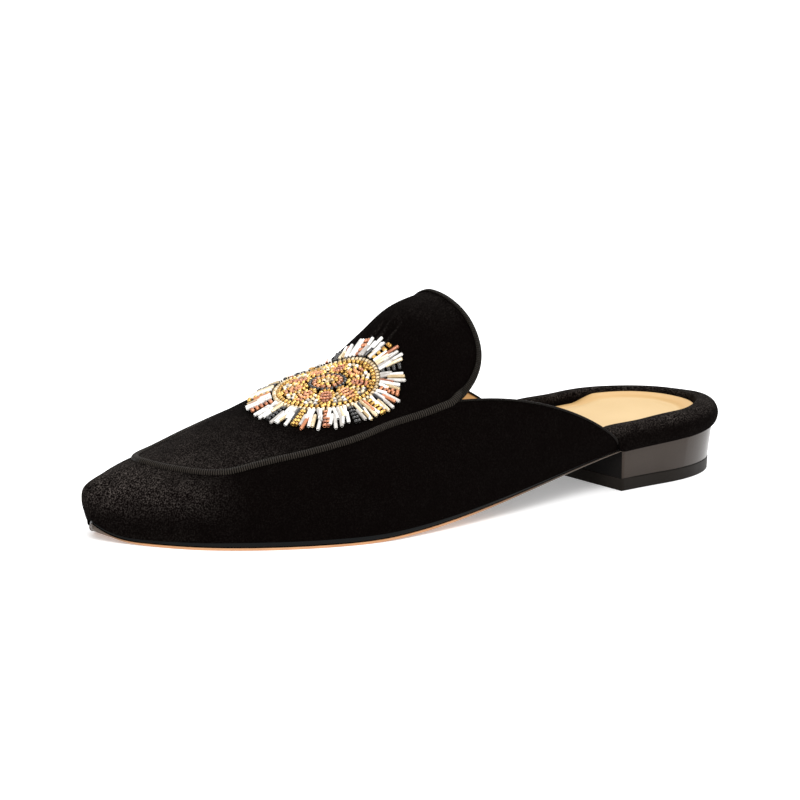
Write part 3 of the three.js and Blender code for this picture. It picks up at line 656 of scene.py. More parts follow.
# How far the velvet stands out and hangs down below the girth, where it meets the sole's side instead of
# tucking in. It fills the gap between the wanted outset and the rib's own, with a soft change at zero
def lowFill(side, s, w):
    s, w = np.broadcast_arrays(s, w)
    here, out = footOf(side, s)
    v = np.where(w <= 1, w * np.interp(s, seamRibs, seamShares[side]), 1)
    turn = np.pi / 2 * np.minimum(1, v / last["girthShare"])
    share = here[..., 0] / last["length"]
    swell = fromTable(sectionAt, sections["swell"], share) * np.sin(turn)
    rise = last["notchHeight"] * fromTable(sectionAt, sections["girth"], share) * (1 - np.cos(turn))
    wanted = last["featherInset"] + upper["overhang"] + upper["lean"] * rise
    tip = rising(here[..., 0], upper["tipUnderFrom"], last["length"] - upper["tipUnderFrom"])
    gap = wanted - upper["tipUnder"] * tip - swell
    fill = 0.5 * (gap + np.sqrt(gap * gap + upper["blend"]))
    drop = mix(upper["drop"], upper["toeDrop"], rising(here[..., 0], *upper["toeDropOver"]))
    drop = drop * (1 - smoothStep(rise / upper["dropHeight"]))
    down = np.zeros(out.shape)
    down[..., 2] = -drop
    return np.where((v < last["girthShare"])[..., None], out * fill[..., None] + down, 0.0)


trims = {side: trimAt(side, wallShares()) for side in (lateral, medial)}
upperPoints = upperGrid(wallPoint)
upperFill = upperGrid(lowFill)
upperNormals = gridNormals(upperPoints)
if upperNormals[upper["rows"] // 3, upperPoints.shape[1] // 2, 2] < 0:
    upperNormals = -upperNormals
upperNormals[-1] = upperNormals[-2]
lastMean = upperNormals[-1] + upperNormals[-1][::-1]
upperNormals[-1] = lastMean / np.linalg.norm(lastMean, axis=-1, keepdims=True)

# At the tip the turned-in edge folds over itself, so its lowest columns take the direction of the wall above
tipRows, tipColumns = slice(-upper["foldRows"], None), upper["foldColumns"]
upperNormals[tipRows, :tipColumns] = upperNormals[tipRows, tipColumns:tipColumns + 1]
upperNormals[tipRows, -tipColumns:] = upperNormals[tipRows, -tipColumns - 1:-tipColumns]

# The toe's crown and the top of the tongue stand a little fuller than the last
crown = upper["crown"] * rising(upperPoints[..., 0], *upper["crownOver"])
crown = crown * bump((upperPoints[..., 2] - upper["crownHeight"]) / upper["crownSpread"])
peak = upper["peak"] * rising(upperPoints[..., 2], *upper["peakOver"])
upperPoints = upperPoints + upperNormals * (crown + peak)[..., None]
cutEdge = upperPoints[0]
print("upper grid", upperPoints.shape)


# Depth of the creases and the painted sheen beside them: a soft trough between ridges half as high, fading out
# at both ends
def creaseShape(points):
    drop, light = np.zeros(len(points)), np.zeros(len(points))
    for crease in upper["creases"]:
        line = np.array(crease, float)
        gap = distanceTo(points, line) / upper["creaseWidth"]
        fromEnd = np.minimum(*[np.linalg.norm(points - end, axis=1) for end in (line[0], line[-1])])
        fade = rising(fromEnd, *upper["creaseFade"])
        drop += fade * upper["creaseDepth"] * (0.5 * bump(gap - 1.7) - bump(gap))
        light += fade * bump((gap - 1.2) * 2.2)
    return drop, light


# Velvet outside; inside a tan lining with a black band along the cut edge
def makeUpper():
    rows, cols = upperPoints.shape[:2]
    flat = upperPoints.reshape(-1, 3)
    normal = upperNormals.reshape(-1, 3)
    drop, creaseSheen = creaseShape(flat)
    outer = flat + normal * drop[:, None] + upperFill.reshape(-1, 3)
    inner = flat - normal * last["wall"]
    fromEdge = distanceTo(flat, cutEdge)
    outerIds = np.arange(rows * cols).reshape(rows, cols)
    innerIds = outerIds + rows * cols
    half = cols // 2
    for ids in (outerIds, innerIds):
        ids[-1, half + 1:] = ids[-1, :half][::-1]
    faces = [
        gridFaces(outerIds), gridFaces(innerIds)[:, ::-1],
        stitch(outerIds[0], innerIds[0])[:, ::-1],
        stitch(outerIds[:, 0], innerIds[:, 0]), stitch(outerIds[:, -1], innerIds[:, -1])[:, ::-1],
    ]
    points = np.concatenate([outer, inner])
    x, z = points[:, 0], points[:, 2]
    column = np.tile(np.arange(cols), rows * 2)
    isApron = (column >= upper["lowColumns"]) & (column <= cols - 1 - upper["lowColumns"])
    # Mask of painted sheen: lighter pile at the toe, on the apron's front, on the tongue's top and beside the
    # creases
    height = mix(sheenPaint["toeLow"], sheenPaint["toeHigh"], rising(z, *sheenPaint["toeHeight"]))
    toe = rising(x, *sheenPaint["toeOver"]) * height
    front = rising(x, *sheenPaint["frontOver"]) * isApron * sheenPaint["front"] * (1 - np.minimum(1, toe))
    top = rising(z, *sheenPaint["topOver"]) * sheenPaint["top"]
    crease = sheenPaint["crease"] * np.tile(creaseSheen, 2)
    paintedSheen = sheenPaint["least"] + np.clip(toe + front + top + crease, 0, sheenPaint["most"])
    band = mix(upper["bandBack"], upper["band"], rising(flat[:, 0], *upper["bandOver"]))
    facing = 1 - smoothStep((fromEdge - band) / upper["bandEdge"] + 0.5)
    piece = makeMesh("upper_shell", points, faces, {"facing": np.tile(facing, 2), "paintedSheen": paintedSheen})
    piece.data.materials.append(velvetPile)
    piece.data.materials.append(liningTan)
    polygons = piece.data.polygons
    index = np.zeros(len(polygons), np.int32)
    count = len(faces[0])
    index[count:2 * count + len(faces[2])] = 1
    polygons.foreach_set("material_index", index)
    mergeClose(piece)
    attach(piece, "root")
    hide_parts("upper")


makeUpper()
print("upper done")


# Strips along a line on the upper: the profile stands in the plane of the surface normal and a side direction

# Section of a strip: each row of points is centre + side * across + normal * up, for a table of (across, up).
# Over the length of the taper at each end the section shrinks to 0.3 of its size
def sweep(name, centre, sideways, normal, profile, taper=0.8):
    tangentStep = np.linalg.norm(np.diff(centre, axis=0), axis=1)
    along = np.concatenate([[0], np.cumsum(tangentStep)])
    size = mix(0.3, 1, smoothStep(np.minimum(along, along[-1] - along) / taper))[:, None, None]
    across, up = profile[None, :, :1], profile[None, :, 1:2]
    rings = centre[:, None] + size * (sideways[:, None] * across + normal[:, None] * up)
    return loft(name, rings, {"along": np.repeat(along[:, None], len(profile), 1)})


# Even spacing along a line of points with vectors riding on it
def respace(step, line, *riders):
    along = np.concatenate([[0], np.cumsum(np.linalg.norm(np.diff(line, axis=0), axis=1))])
    count = max(4, int(round(along[-1] / step)))
    even = np.linspace(0, along[-1], count + 1)
    pick = lambda field: np.stack([np.interp(even, along, field[:, k]) for k in range(3)], -1)
    return [pick(line)] + [unit(pick(rider)) for rider in riders]


# Half-round profile over a flat underside, as (across, up) from one end round the top and back below. The top
# is a superellipse: the height times (1 - u to the power 2.6) to the given power
def pillow(width, height, base, count=9, power=0.62):
    u = np.linspace(-1, 1, count)
    top = np.stack([u * width / 2, base + height * (1 - np.abs(u) ** 2.6) ** power], -1)
    under = np.stack([-u * width / 2 * 0.98, np.full(count, base - 0.12)], -1)
    return np.vstack([top, under])


strip = {"width": 2.55, "height": 0.85, "base": 0.12, "step": 0.6, "upTongue": 4, "taper": 6.0}


# Ribbed strip over the seam: a short way down the tongue's edge to one notch, around the toe to the other
# notch and up again
def makeStrip():
    low = upper["lowColumns"]
    cols = upperPoints.shape[1]
    turn = np.arange(strip["upTongue"], 0, -1)
    paths = []
    for field in (upperPoints, upperNormals):
        start = np.concatenate([field[1, low + turn], field[1:, low]])
        back = np.concatenate([field[1, cols - 1 - low - turn], field[1:-1, cols - 1 - low]])
        path = np.concatenate([start, back[::-1]])
        for _ in range(3):
            path[1:-1] = (path[:-2] + 2 * path[1:-1] + path[2:]) / 4
        paths.append(path)
    centre, normal = respace(strip["step"], *paths)
    side = unit(np.cross(normal, np.gradient(centre, axis=0)))
    profile = pillow(strip["width"], strip["height"], strip["base"])
    piece = sweep("apron_strip_tape", centre, side, normal, profile, strip["taper"])
    piece.data.materials.append(ribbedTape)
    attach(piece, "root")
    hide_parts("apron_strip")


makeStrip()

# Bindings folded over a cut edge: a U of constant thickness, rounded over the edge by a share of its width

bindingStep = 0.6
tongueFold = {"depth": 0.95, "gap": 0.2, "thickness": 0.52, "over": 0.85}
quarterFold = {"depth": 0.35, "gap": 0.05, "thickness": 0.22, "over": 0.5}


def foldProfile(fold):
    depth = fold["depth"]
    half = last["wall"] / 2 + fold["gap"]
    outer = half + fold["thickness"]
    over = np.linspace(np.pi / 2, -np.pi / 2, 11)
    outside = np.stack([-outer * fold["over"] * np.cos(over), outer * np.sin(over)], -1)
    inside = np.stack([-half * 0.3 * np.cos(over[::-1]), half * np.sin(over[::-1])], -1)
    endA = np.array([[depth, outer * 0.99]])
    endB = np.array([[depth, -outer * 0.99], [depth, -half]])
    endC = np.array([[depth, half]])
    return np.vstack([endA, outside, endB, inside, endC])


# Folds a binding over the cut edge between two columns; the fold's middle lies on the middle of the wall
def makeBinding(name, first, final, fold, material, node, trimEnds=(0.0, 0.0)):
    edge = cutEdge[first:final + 1]
    normal = upperNormals[0, first:final + 1]
    along = unit(np.gradient(edge, axis=0))
    into = unit(np.cross(along, normal))
    inner = upperPoints[6, first:final + 1] - edge
    into = np.where(np.einsum("ij,ij->i", into, inner)[:, None] < 0, -into, into)
    middle = edge - normal * last["wall"] / 2
    centre, into, normal = respace(bindingStep, middle, into, normal)
    cut = [int(round(t / bindingStep)) for t in trimEnds]
    keep = slice(cut[0], len(centre) - cut[1])
    profile = foldProfile(fold)
    piece = sweep(name, centre[keep], into[keep], normal[keep], profile)
    piece.data.materials.append(material)
    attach(piece, "root")
    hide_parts(node)


finalColumn = upperPoints.shape[1] - 1
low = upper["lowColumns"]
makeBinding("tongue_tape", low, finalColumn - low, tongueFold, tongueTape, "tongue_binding")
makeBinding("quarter_edging_lateral", 0, low - 1, quarterFold, edgeTape, "quarter_binding_lateral",
            (bindingStep, 0.0))
makeBinding("quarter_edging_medial", finalColumn + 1 - low, finalColumn, quarterFold, edgeTape,
            "quarter_binding_medial", (0.0, bindingStep))
print("strip and bindings done")


# Sole: bands around the plan outline, each with its own bulging side

# Plan outline of the sole as one closed line, lateral side to the toe and medial side back
def soleLine(start, count):
    angle = np.linspace(0, np.pi / 2, count)
    front = start + (last["length"] - start) * np.sin(angle)
    lines = []
    for side in (lateral, medial):
        y = side * outlineAt(side, front)
        lines.append(np.stack([front, y], -1))
    return np.concatenate([lines[0], lines[1][-2::-1]])


def lineNormals(line):
    t = np.gradient(line, axis=0)
    n = unit(np.stack([-t[:, 1], t[:, 0]], -1))
    middle = len(line) // 4
    return n if n[middle, 1] > 0 else -n


sole = {
    "startAt": last["breastAt"] + 0.1, "count": 220,
    "tuck": 1.5, "tuckFrom": 224.0, "tipLift": 0.45, "polishDown": 0.4,
    "edgeBulge": 0.4, "outsoleBulge": 0.25, "outsoleOutset": 0.2, "joint": 0.05,
    "waistOver": (92.0, 62.0), "tipShadeOver": (230.0, 9.0),
}


# Soft step from 0 where the sole begins to tuck in to 1 at its tip
def tipShare(x):
    return rising(x, sole["tuckFrom"], last["length"] - sole["tuckFrom"])


# Layer with a rounded side, from rows of (outset, share of the height); top and bottom are ladders of quads.
# # Its attribute "waist" is 1 in the arch and at the very tip, and 0 under the forefoot; at the very tip it
# stands for painted shadow
def makeLayer(name, bottomAt, topAt, rows, material, node, rings=8):
    start = sole["startAt"]
    line = soleLine(start, sole["count"])
    out = lineNormals(line)
    out[0] = np.array([0, 1.0])
    out[-1] = np.array([0, -1.0])
    levels = []
    tuck = sole["tuck"] * tipShare(line[:, :1])
    for outset, up in rows:
        p = line + out * (outset - tuck)
        p[0, 0] = p[-1, 0] = start
        x = np.clip(line[:, 0], start, last["length"])
        levels.append(np.column_stack([p, mix(bottomAt(x), topAt(x), up)]))
    levels = np.array(levels)
    count = levels.shape[1]
    half = count // 2
    points = levels.reshape(-1, 3)
    ids = np.arange(len(points)).reshape(levels.shape[:2])
    faces = [gridFaces(ids), stitch(ids[:, -1], ids[:, 0])]
    extra = []
    total = len(points)
    for level, flip in ((levels[0], False), (levels[-1], True)):
        a, b = level[:half + 1], level[half:][::-1]
        share = np.linspace(0, 1, rings + 1)[1:-1]
        between = a[:half, None] + (b[:half] - a[:half])[:, None] * share[None, :, None]
        heightAt = bottomAt if level is levels[0] else topAt
        between[..., 2] = heightAt(np.clip(between[..., 0], start, last["length"]))
        grid = np.empty((half, rings + 1), int)
        base = ids[0] if level is levels[0] else ids[-1]
        grid[:, 0] = base[:half]
        grid[:, -1] = base[half + 1:][::-1]
        grid[:, 1:-1] = total + np.arange(between.shape[0] * between.shape[1]).reshape(between.shape[:2])
        total += between.shape[0] * between.shape[1]
        extra.append(between.reshape(-1, 3))
        cap = gridFaces(grid)
        tip = np.stack([grid[-1, :-1], grid[-1, 1:], np.full(rings, base[half])], -1)
        faces.append(cap if flip else cap[:, ::-1])
        faces.append(tip if flip else tip[:, ::-1])
    grouped = [np.concatenate([f for f in faces if f.shape[1] == n]) for n in (4, 3)]
    allPoints = np.vstack([points] + extra)
    x = allPoints[:, 0]
    # Darker in the arch, and painted shadow at the very tip
    waist = 1 - rising(x, *sole["waistOver"]) * (1 - rising(x, *sole["tipShadeOver"]))
    piece = makeMesh(name, allPoints, grouped, {"waist": waist})
    piece.data.materials.append(material)
    fixNormals(piece)
    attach(piece, "root")
    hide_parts(node)


def fixNormals(piece):
    work = bmesh.new()
    work.from_mesh(piece.data)
    bmesh.ops.recalc_face_normals(work, faces=work.faces)
    if work.calc_volume(signed=True) < 0:
        bmesh.ops.reverse_faces(work, faces=work.faces)
    work.to_mesh(piece.data)
    work.free()
    smoothShade(piece.data)


# Rows of a bulging side: the outset follows the cosine to the power 0.8, the height mostly the sine
def roundedRows(bulge, steps=9, corner=0.12):
    angle = np.linspace(-np.pi / 2, np.pi / 2, steps)
    up = (np.sin(angle) * (1 - corner) + corner * np.sign(angle) * (np.abs(angle) / (np.pi / 2)) + 1) / 2
    return [(-bulge * 0.9 + bulge * math.cos(a) ** 0.8, min(1, max(0, u))) for a, u in zip(angle, up)]


# Underside of the outsole, thinner at the very tip
def tipBottom(x):
    return soleBottom(x) + sole["tipLift"] * tipShare(x)


# Joint of the band and the outsole: the polish runs a little way down over the outsole's edge
def jointAt(x):
    return outsoleTop(x) - sole["polishDown"] * layerShare(x)


outsoleRows = [(outset + sole["outsoleOutset"], up) for outset, up in roundedRows(sole["outsoleBulge"])]
makeLayer("sole_edge_band", lambda x: jointAt(x) + sole["joint"], lambda x: edgeTop(x) + last["gap"] * 0.5,
          roundedRows(sole["edgeBulge"]), edgePolish, "sole_edge")
makeLayer("outsole_layer", tipBottom, jointAt, outsoleRows, outsoleTan, "outsole")
print("sole done")


# Heel: block and top lift, an oval in plan cut straight at the breast

heel = {"inset": 3.5, "power": 2.25, "flare": 1.3, "lift": 4.1, "liftGap": 0.1, "count": 120, "wider": 0.4}


# Half of an oval whose curve is a superellipse, on to the breast along the sole's outline, on both sides
def heelLine(outset, count):
    angle = np.linspace(0, np.pi / 2, count)
    c, s = np.cos(angle) ** (2 / heel["power"]), np.sin(angle) ** (2 / heel["power"])
    depth = last["heelWidestAt"] - heel["inset"] + outset
    lines = []
    for side, half in ((lateral, last["heelLateral"]), (medial, last["heelMedial"])):
        back = np.stack([last["heelWidestAt"] - depth * c, side * (half + outset) * s], -1)
        x = np.linspace(last["heelWidestAt"], last["breastAt"], 14)[1:]
        front = np.stack([x, side * (outlineAt(side, x) + outset)], -1)
        lines.append(np.concatenate([back, front]))
    return np.concatenate([lines[0][::-1], lines[1][1:]])


# Closed slab between two heights over the heel line, with rounded arrises at the top and bottom
def makeHeelPiece(name, lowZ, highZ, insetLow, insetHigh, bevel, material, node):
    levels = []
    span = np.linspace(0, np.pi / 2, 5)
    low = [(bevel * (1 - math.sin(a)), bevel * (1 - math.cos(a))) for a in span]
    plan = [(lowInset, rise, 0) for lowInset, rise in low]
    plan += [(lowInset, rise, 1) for lowInset, rise in low[::-1]]
    for extra, rise, isTop in plan:
        base = insetHigh if isTop else insetLow
        line = heelLine(-base - extra, heel["count"])
        widest = (-last["heelMedial"] - heel["wider"], last["heelLateral"] + heel["wider"])
        line[:, 1] = np.clip(line[:, 1], *widest)
        line[:, 0] = np.minimum(line[:, 0], last["breastAt"] - extra * 0.7)
        z = (highZ(line[:, 0]) - rise) if isTop else (lowZ(line[:, 0]) + rise)
        levels.append(np.column_stack([line, z]))
    levels = np.array(levels)
    points = levels.reshape(-1, 3)
    ids = np.arange(len(points)).reshape(levels.shape[:2])
    quads = np.concatenate([gridFaces(ids, wrapColumns=True), ringLadder(ids[0]), ringLadder(ids[-1])])
    count = ids.shape[1]
    half = count // 2
    tips = np.array([[row[half - 1], row[half], row[count - half]] for row in (ids[0], ids[-1])])
    piece = makeMesh(name, points, [quads, tips])
    piece.data.materials.append(material)
    piece.data.materials.append(breastMattShade)
    fixNormals(piece)
    # Faces looking forward at the block's breast take the second material, whose darker colour is painted shade
    facing = np.zeros(len(piece.data.polygons) * 3, np.float32)
    piece.data.polygons.foreach_get("normal", facing)
    isBreast = (facing[::3] > 0.9) & (name == "heel_block_body")
    piece.data.polygons.foreach_set("material_index", isBreast.astype(np.int32))
    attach(piece, "root")
    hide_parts(node)


def level(height):
    return lambda x: np.full(x.shape, height)


makeHeelPiece("heel_block_body", level(heel["lift"] + heel["liftGap"]), seatHeight, 0.0, -heel["flare"], 0.22,
              heelPolish, "heel_block")
makeHeelPiece("top_lift_body", level(0.0), level(heel["lift"]), 0.05, -0.1, 0.2,
              liftRubber, "top_lift")
print("heel done")


# Insole and heel rim

insole = {
    "stations": 190, "columns": 46, "thickness": 2.6, "pad": 1.4, "dish": 1.7, "margin": 9.0, "flare": 1.3,
    "inRim": 4.2, "tipWidth": 9.0, "round": 1.1, "lineAt": 5.4, "lineWidth": 1.3, "lineDepth": 0.35,
    "sag": 2.5, "sagFrom": (26.0, 10.0), "sagTo": (80.0, 22.0), "sagAcross": 11.0,
    "edgeWave": 0.35, "edgeWaveTo": 75.0, "padWave": 0.25,
}
rim = {
    "height": 7.1, "nearRise": 1.3, "nearOver": (-6.0, 26.0), "hang": 0.8, "hangHeight": 0.45, "width": 7.6,
    "proud": 3.3, "frontAt": 61.4, "lean": 6.0, "around": 44, "turns": 60, "swell": 0.16,
}


def heelEdge(side, x, outset):
    depth = last["heelWidestAt"] - heel["inset"] + outset
    half = (last["heelLateral"] if side == lateral else last["heelMedial"]) + outset
    share = np.clip((last["heelWidestAt"] - x) / depth, 0, 1)
    return half * (1 - share ** heel["power"]) ** (1 / heel["power"])


# Edge of the sock: inside the rim at the heel, inside the wall in front, with a soft change between them
def insoleEdge(side, x):
    inWall = last["featherInset"] + last["wall"] + 3 * last["gap"]
    behind = rim["frontAt"] + rim["lean"]
    blend = rising(x, behind, last["waistAt"] - behind)
    stretch = last["length"] / (last["length"] - inWall)
    at = mix(x, np.minimum(last["length"], x * stretch), blend)
    front = outlineAt(side, at) - mix(insole["inRim"], inWall - insole["flare"], blend)
    return side * np.where(x <= last["heelWidestAt"], heelEdge(side, x, -insole["inRim"]), front)


# Height of the sock's top and the share of the heel's pad in it
def insoleTop(x):
    share = 1 - rising(x, last["heelWidestAt"], last["waistAt"] - last["heelWidestAt"])
    front = featherHeight(np.maximum(x, last["breastAt"])) + insole["thickness"]
    back = seatHeight(x) + last["gap"] + insole["thickness"] + insole["pad"]
    return mix(front, back, share), share


def insoleUnder(x):
    front = edgeTop(np.maximum(x, last["breastAt"])) + last["gap"]
    return np.where(x < last["breastAt"], seatHeight(x) + last["gap"], front)


# Soft sock: flat in front, dished at the heel, with a rounded edge and a shallow pressed line along it
def makeInsole():
    low, high = last["ballMedialAt"], last["length"]
    for _ in range(30):
        x = (low + high) / 2
        wide = insoleEdge(lateral, np.array([x])) - insoleEdge(medial, np.array([x])) > insole["tipWidth"]
        low, high = (x, high) if wide[0] else (low, x)
    start, end = heel["inset"] + insole["inRim"] + 0.05, low
    turn = np.linspace(0, np.pi, insole["stations"])
    x = mix(start, end, (1 - np.cos(turn)) / 2)[:, None]
    share = (1 - np.cos(np.linspace(0, np.pi, insole["columns"]))) / 2
    share = mix(np.linspace(0, 1, insole["columns"]), share, 0.6)[None]
    y0, y1 = insoleEdge(medial, x), insoleEdge(lateral, x)
    wave = insole["edgeWave"] * np.sin(x / 3.1) * np.sin(x / 7.3 + 1) * (x < insole["edgeWaveTo"])
    y = mix(y0 + wave * 0.7, y1 - wave * 0.4, share)
    xs = np.broadcast_to(x, y.shape)
    rimLine = np.concatenate([np.column_stack([x, y0]), np.column_stack([x, y1])[::-1]])
    rimLine = np.vstack([rimLine, rimLine[:1]])
    fromEdge = distanceTo(np.column_stack([xs.ravel(), y.ravel(), 0 * y.ravel()]),
                          np.column_stack([rimLine, np.zeros(len(rimLine))])).reshape(y.shape)
    height, onHeel = insoleTop(xs)
    z = height + insole["dish"] * onHeel * (1 - smoothStep(fromEdge / insole["margin"]))
    k = np.clip(1 - fromEdge / insole["round"], 0, 1)
    z = z - insole["round"] * (1 - np.sqrt(1 - k * k))
    z = z - insole["lineDepth"] * bump((fromEdge - insole["lineAt"]) / insole["lineWidth"]) * onHeel ** 0.5
    z = z + insole["padWave"] * onHeel * np.sin(xs / 9 + 2) * np.sin(y / 8)
    behindQuarter = rising(xs, *insole["sagFrom"]) * (1 - rising(xs, *insole["sagTo"]))
    z = z - insole["sag"] * behindQuarter * (1 - smoothStep((y - y0) / insole["sagAcross"]))
    top = np.stack([xs, y, z], -1)
    under = np.stack([xs, y, insoleUnder(xs)], -1)
    n, m = y.shape
    a = np.arange(n * m).reshape(n, m)
    b = a + n * m
    faces = np.concatenate([gridFaces(a), gridFaces(b)[:, ::-1], stitch(b[0], a[0]), stitch(a[-1], b[-1]),
                            stitch(a[:, 0], b[:, 0]), stitch(b[:, -1], a[:, -1])])
    piece = makeMesh("insole_sock", np.concatenate([top.reshape(-1, 3), under.reshape(-1, 3)]), [faces],
                     {"fromEdge": np.tile(fromEdge.ravel(), 2)})
    piece.data.materials.append(sockLeather())
    fixNormals(piece)
    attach(piece, "root")
    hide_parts("insole")


makeInsole()

# Section of the rim: across counts inward from its outer face, up from the seat, both as shares
rimProfile = np.array([(0.39, 0), (0.10, 0.14), (0, 0.42), (0.12, 0.76), (0.39, 0.95), (0.74, 1.0),
                       (0.97, 0.93), (1.0, 0.5), (0.97, 0.06), (0.71, 0)])


# Padded roll around the heel seat: the section runs along the oval, and its ends shrink to about three
# quarters beside the quarters' ends
def makeRim():
    profile = smoothRing(rimProfile, rim["around"])
    forward = np.concatenate([1 - (1 - np.cos(np.linspace(0, np.pi / 2, 9))) * 0.12,
                              np.linspace(0.88, 0, 14)[1:-1]])
    closing = np.concatenate([mix(0.75, 1, np.sin(np.linspace(0.1, np.pi / 2, 9))), np.ones(12)])
    rings = []
    for side in (lateral, medial):
        half = last["heelLateral"] if side == lateral else last["heelMedial"]
        parts = []
        for f, size in zip(forward, closing):
            across = mix(0.5, profile[:, 0], size)
            up = mix(0.5, profile[:, 1], size)
            outset = rim["proud"] - rim["width"] * across
            x = mix(last["heelWidestAt"], rim["frontAt"], f) + rim["lean"] * up * f
            parts.append(np.column_stack([x, side * (outlineAt(side, x) + outset), up]))
        for a in np.linspace(np.pi / 2, 0, rim["turns"]):
            outset = rim["proud"] - rim["width"] * profile[:, 0]
            reach = last["heelWidestAt"] - heel["inset"] + outset
            x = last["heelWidestAt"] - reach * np.cos(a) ** (2 / heel["power"])
            y = side * (half + outset) * np.sin(a) ** (2 / heel["power"])
            parts.append(np.column_stack([x, y, profile[:, 1]]))
        rings.append(np.array(parts))
    rings = np.concatenate([rings[0], rings[1][::-1][1:]])
    flat = rings.reshape(-1, 3).copy()
    across, up = (np.tile(profile[:, k], (len(rings), 1)) for k in (0, 1))
    tall = rim["height"] + rim["nearRise"] * rising(flat[:, 1], *rim["nearOver"])
    z = seatHeight(flat[:, 0]) + last["gap"] + tall * flat[:, 2]
    outside = smoothStep((0.5 - across) / 0.3).ravel()
    z -= rim["hang"] * outside * (1 - smoothStep(flat[:, 2] / rim["hangHeight"]))
    swell = rim["swell"] * np.sin(flat[:, 0] / 4.1 + flat[:, 1] / 5.3) * smoothStep(flat[:, 2] * 2)
    points = np.column_stack([flat[:, :2], z + swell]).reshape(rings.shape)
    # Painted sheen: the upper part of the roll's section is lighter
    paintedSheen = 0.08 + 0.8 * rising(up, 0.55, 0.45)
    piece = loft("heel_rim_roll", points, {"paintedSheen": paintedSheen})
    piece.data.materials.append(rimPile)
    fixNormals(piece)
    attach(piece, "root")
    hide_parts("heel_rim")


makeRim()
print("insole and rim done")


# Beadwork: a generic flower medallion in glass seeds and bugles, laid out on the apron in millimetres

beads = {
    "middle": (158.5, 6.0), "centre": (161.2, 8.6), "halfLength": 24.0, "halfWidth": 25.5,
    "bugle": 0.62, "seedSides": 9, "bugleSides": 8, "spokes": 15,
}


# Apron as a table over x and the distance across from the ridge along the surface, for placing beads
def apronTable():
    xs = np.arange(128.0, 200.0, 1.5)
    across = np.linspace(-0.98, 0.98, 99)
    grid = np.zeros((len(xs), len(across), 3))
    for side, pick in ((lateral, across > 0), (medial, across <= 0)):
        w = 2 - np.abs(across[pick])
        low, high = np.zeros((len(xs), pick.sum())), np.ones((len(xs), pick.sum()))
        for _ in range(24):
            s = (low + high) / 2
            behind = wallPoint(side, s, w[None])[..., 0] < xs[:, None]
            low, high = np.where(behind, s, low), np.where(behind, high, s)
        grid[:, pick] = wallPoint(side, (low + high) / 2, w[None])
    normal = gridNormals(grid)
    normal = np.where(normal[..., 2:] < 0, -normal, normal)
    steps = np.linalg.norm(np.diff(grid, axis=1), axis=-1)
    middle = len(across) // 2
    reach = np.concatenate([np.zeros((len(xs), 1)), np.cumsum(steps, axis=1)], axis=1)
    reach -= reach[:, middle:middle + 1]
    bs = np.arange(-34.0, 46.0, 1.0)
    resample = lambda field: np.stack([np.stack([np.interp(bs, r, row[:, k]) for k in range(3)], -1)
                                       for r, row in zip(reach, field)])
    return xs, bs, resample(grid), resample(normal)


apronX, apronB, apronPoints, apronNormals = apronTable()


# Point and normal of the apron at a along and b across, read between the table's rows and columns
def onApron(a, b, lift):
    i = np.clip((a - apronX[0]) / (apronX[1] - apronX[0]), 0, len(apronX) - 1.001)
    j = np.clip((b - apronB[0]) / (apronB[1] - apronB[0]), 0, len(apronB) - 1.001)
    i0, j0 = i.astype(int), j.astype(int)
    u, v = (i - i0)[..., None], (j - j0)[..., None]

    def pick(field):
        near, far = (mix(field[i0, j], field[i0 + 1, j], u) for j in (j0, j0 + 1))
        return mix(near, far, v)

    normal = unit(pick(apronNormals))
    return pick(apronPoints) + normal * lift[..., None], normal


# Joined mesh of many beads: one lathed template, rows of (share of the length, share of the radius), turned
# to each bead's axis; the attribute "tone" is a random number for each bead
def makeBeads(name, starts, ends, lifts, radius, rows, sides, material):
    a, na = onApron(starts[:, 0], starts[:, 1], lifts[:, 0])
    b, nb = onApron(ends[:, 0], ends[:, 1], lifts[:, 1])
    axis = b - a
    length = np.linalg.norm(axis, axis=1, keepdims=True)
    axis = axis / length
    side = unit(np.cross(axis, unit(na + nb)))
    up = np.cross(side, axis)
    rows = np.asarray(rows, float)
    turn = np.arange(sides) * 2 * np.pi / sides
    ring = np.stack([np.cos(turn), np.sin(turn)], -1)
    along = (length * rows[None, :, 0])[..., None, None]
    outward = side[:, None, None] * ring[None, None, :, :1] + up[:, None, None] * ring[None, None, :, 1:]
    points = a[:, None, None] + axis[:, None, None] * along + radius * rows[None, :, 1, None, None] * outward
    count = len(rows) * sides
    ids = np.arange(count).reshape(len(rows), sides)
    body = gridFaces(ids, wrapColumns=True)
    caps = np.array([ids[0][::-1], ids[-1]])
    offset = (np.arange(len(a)) * count)[:, None, None]
    allBody = (body[None] + offset).reshape(-1, 4)
    allCaps = (caps[None] + offset).reshape(-1, sides)
    rng = np.random.default_rng(len(a) + 7)
    tone = np.repeat(rng.random(len(a)), count)
    piece = makeMesh(name, points.reshape(-1, 3), [allBody, allCaps], {"tone": tone})
    piece.data.materials.append(material)
    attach(piece, "root")
    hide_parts("bead_panel")


# Lathed templates of a round seed and of a straight bugle
seedRows = [(0.08, 0.42), (0.02, 0.72), (0.2, 0.95), (0.5, 1.0), (0.8, 0.95), (0.98, 0.72), (0.92, 0.42)]
bugleRows = [(0.0, 0.62), (0.02, 0.9), (0.07, 1.0), (0.93, 1.0), (0.98, 0.9), (1.0, 0.62)]


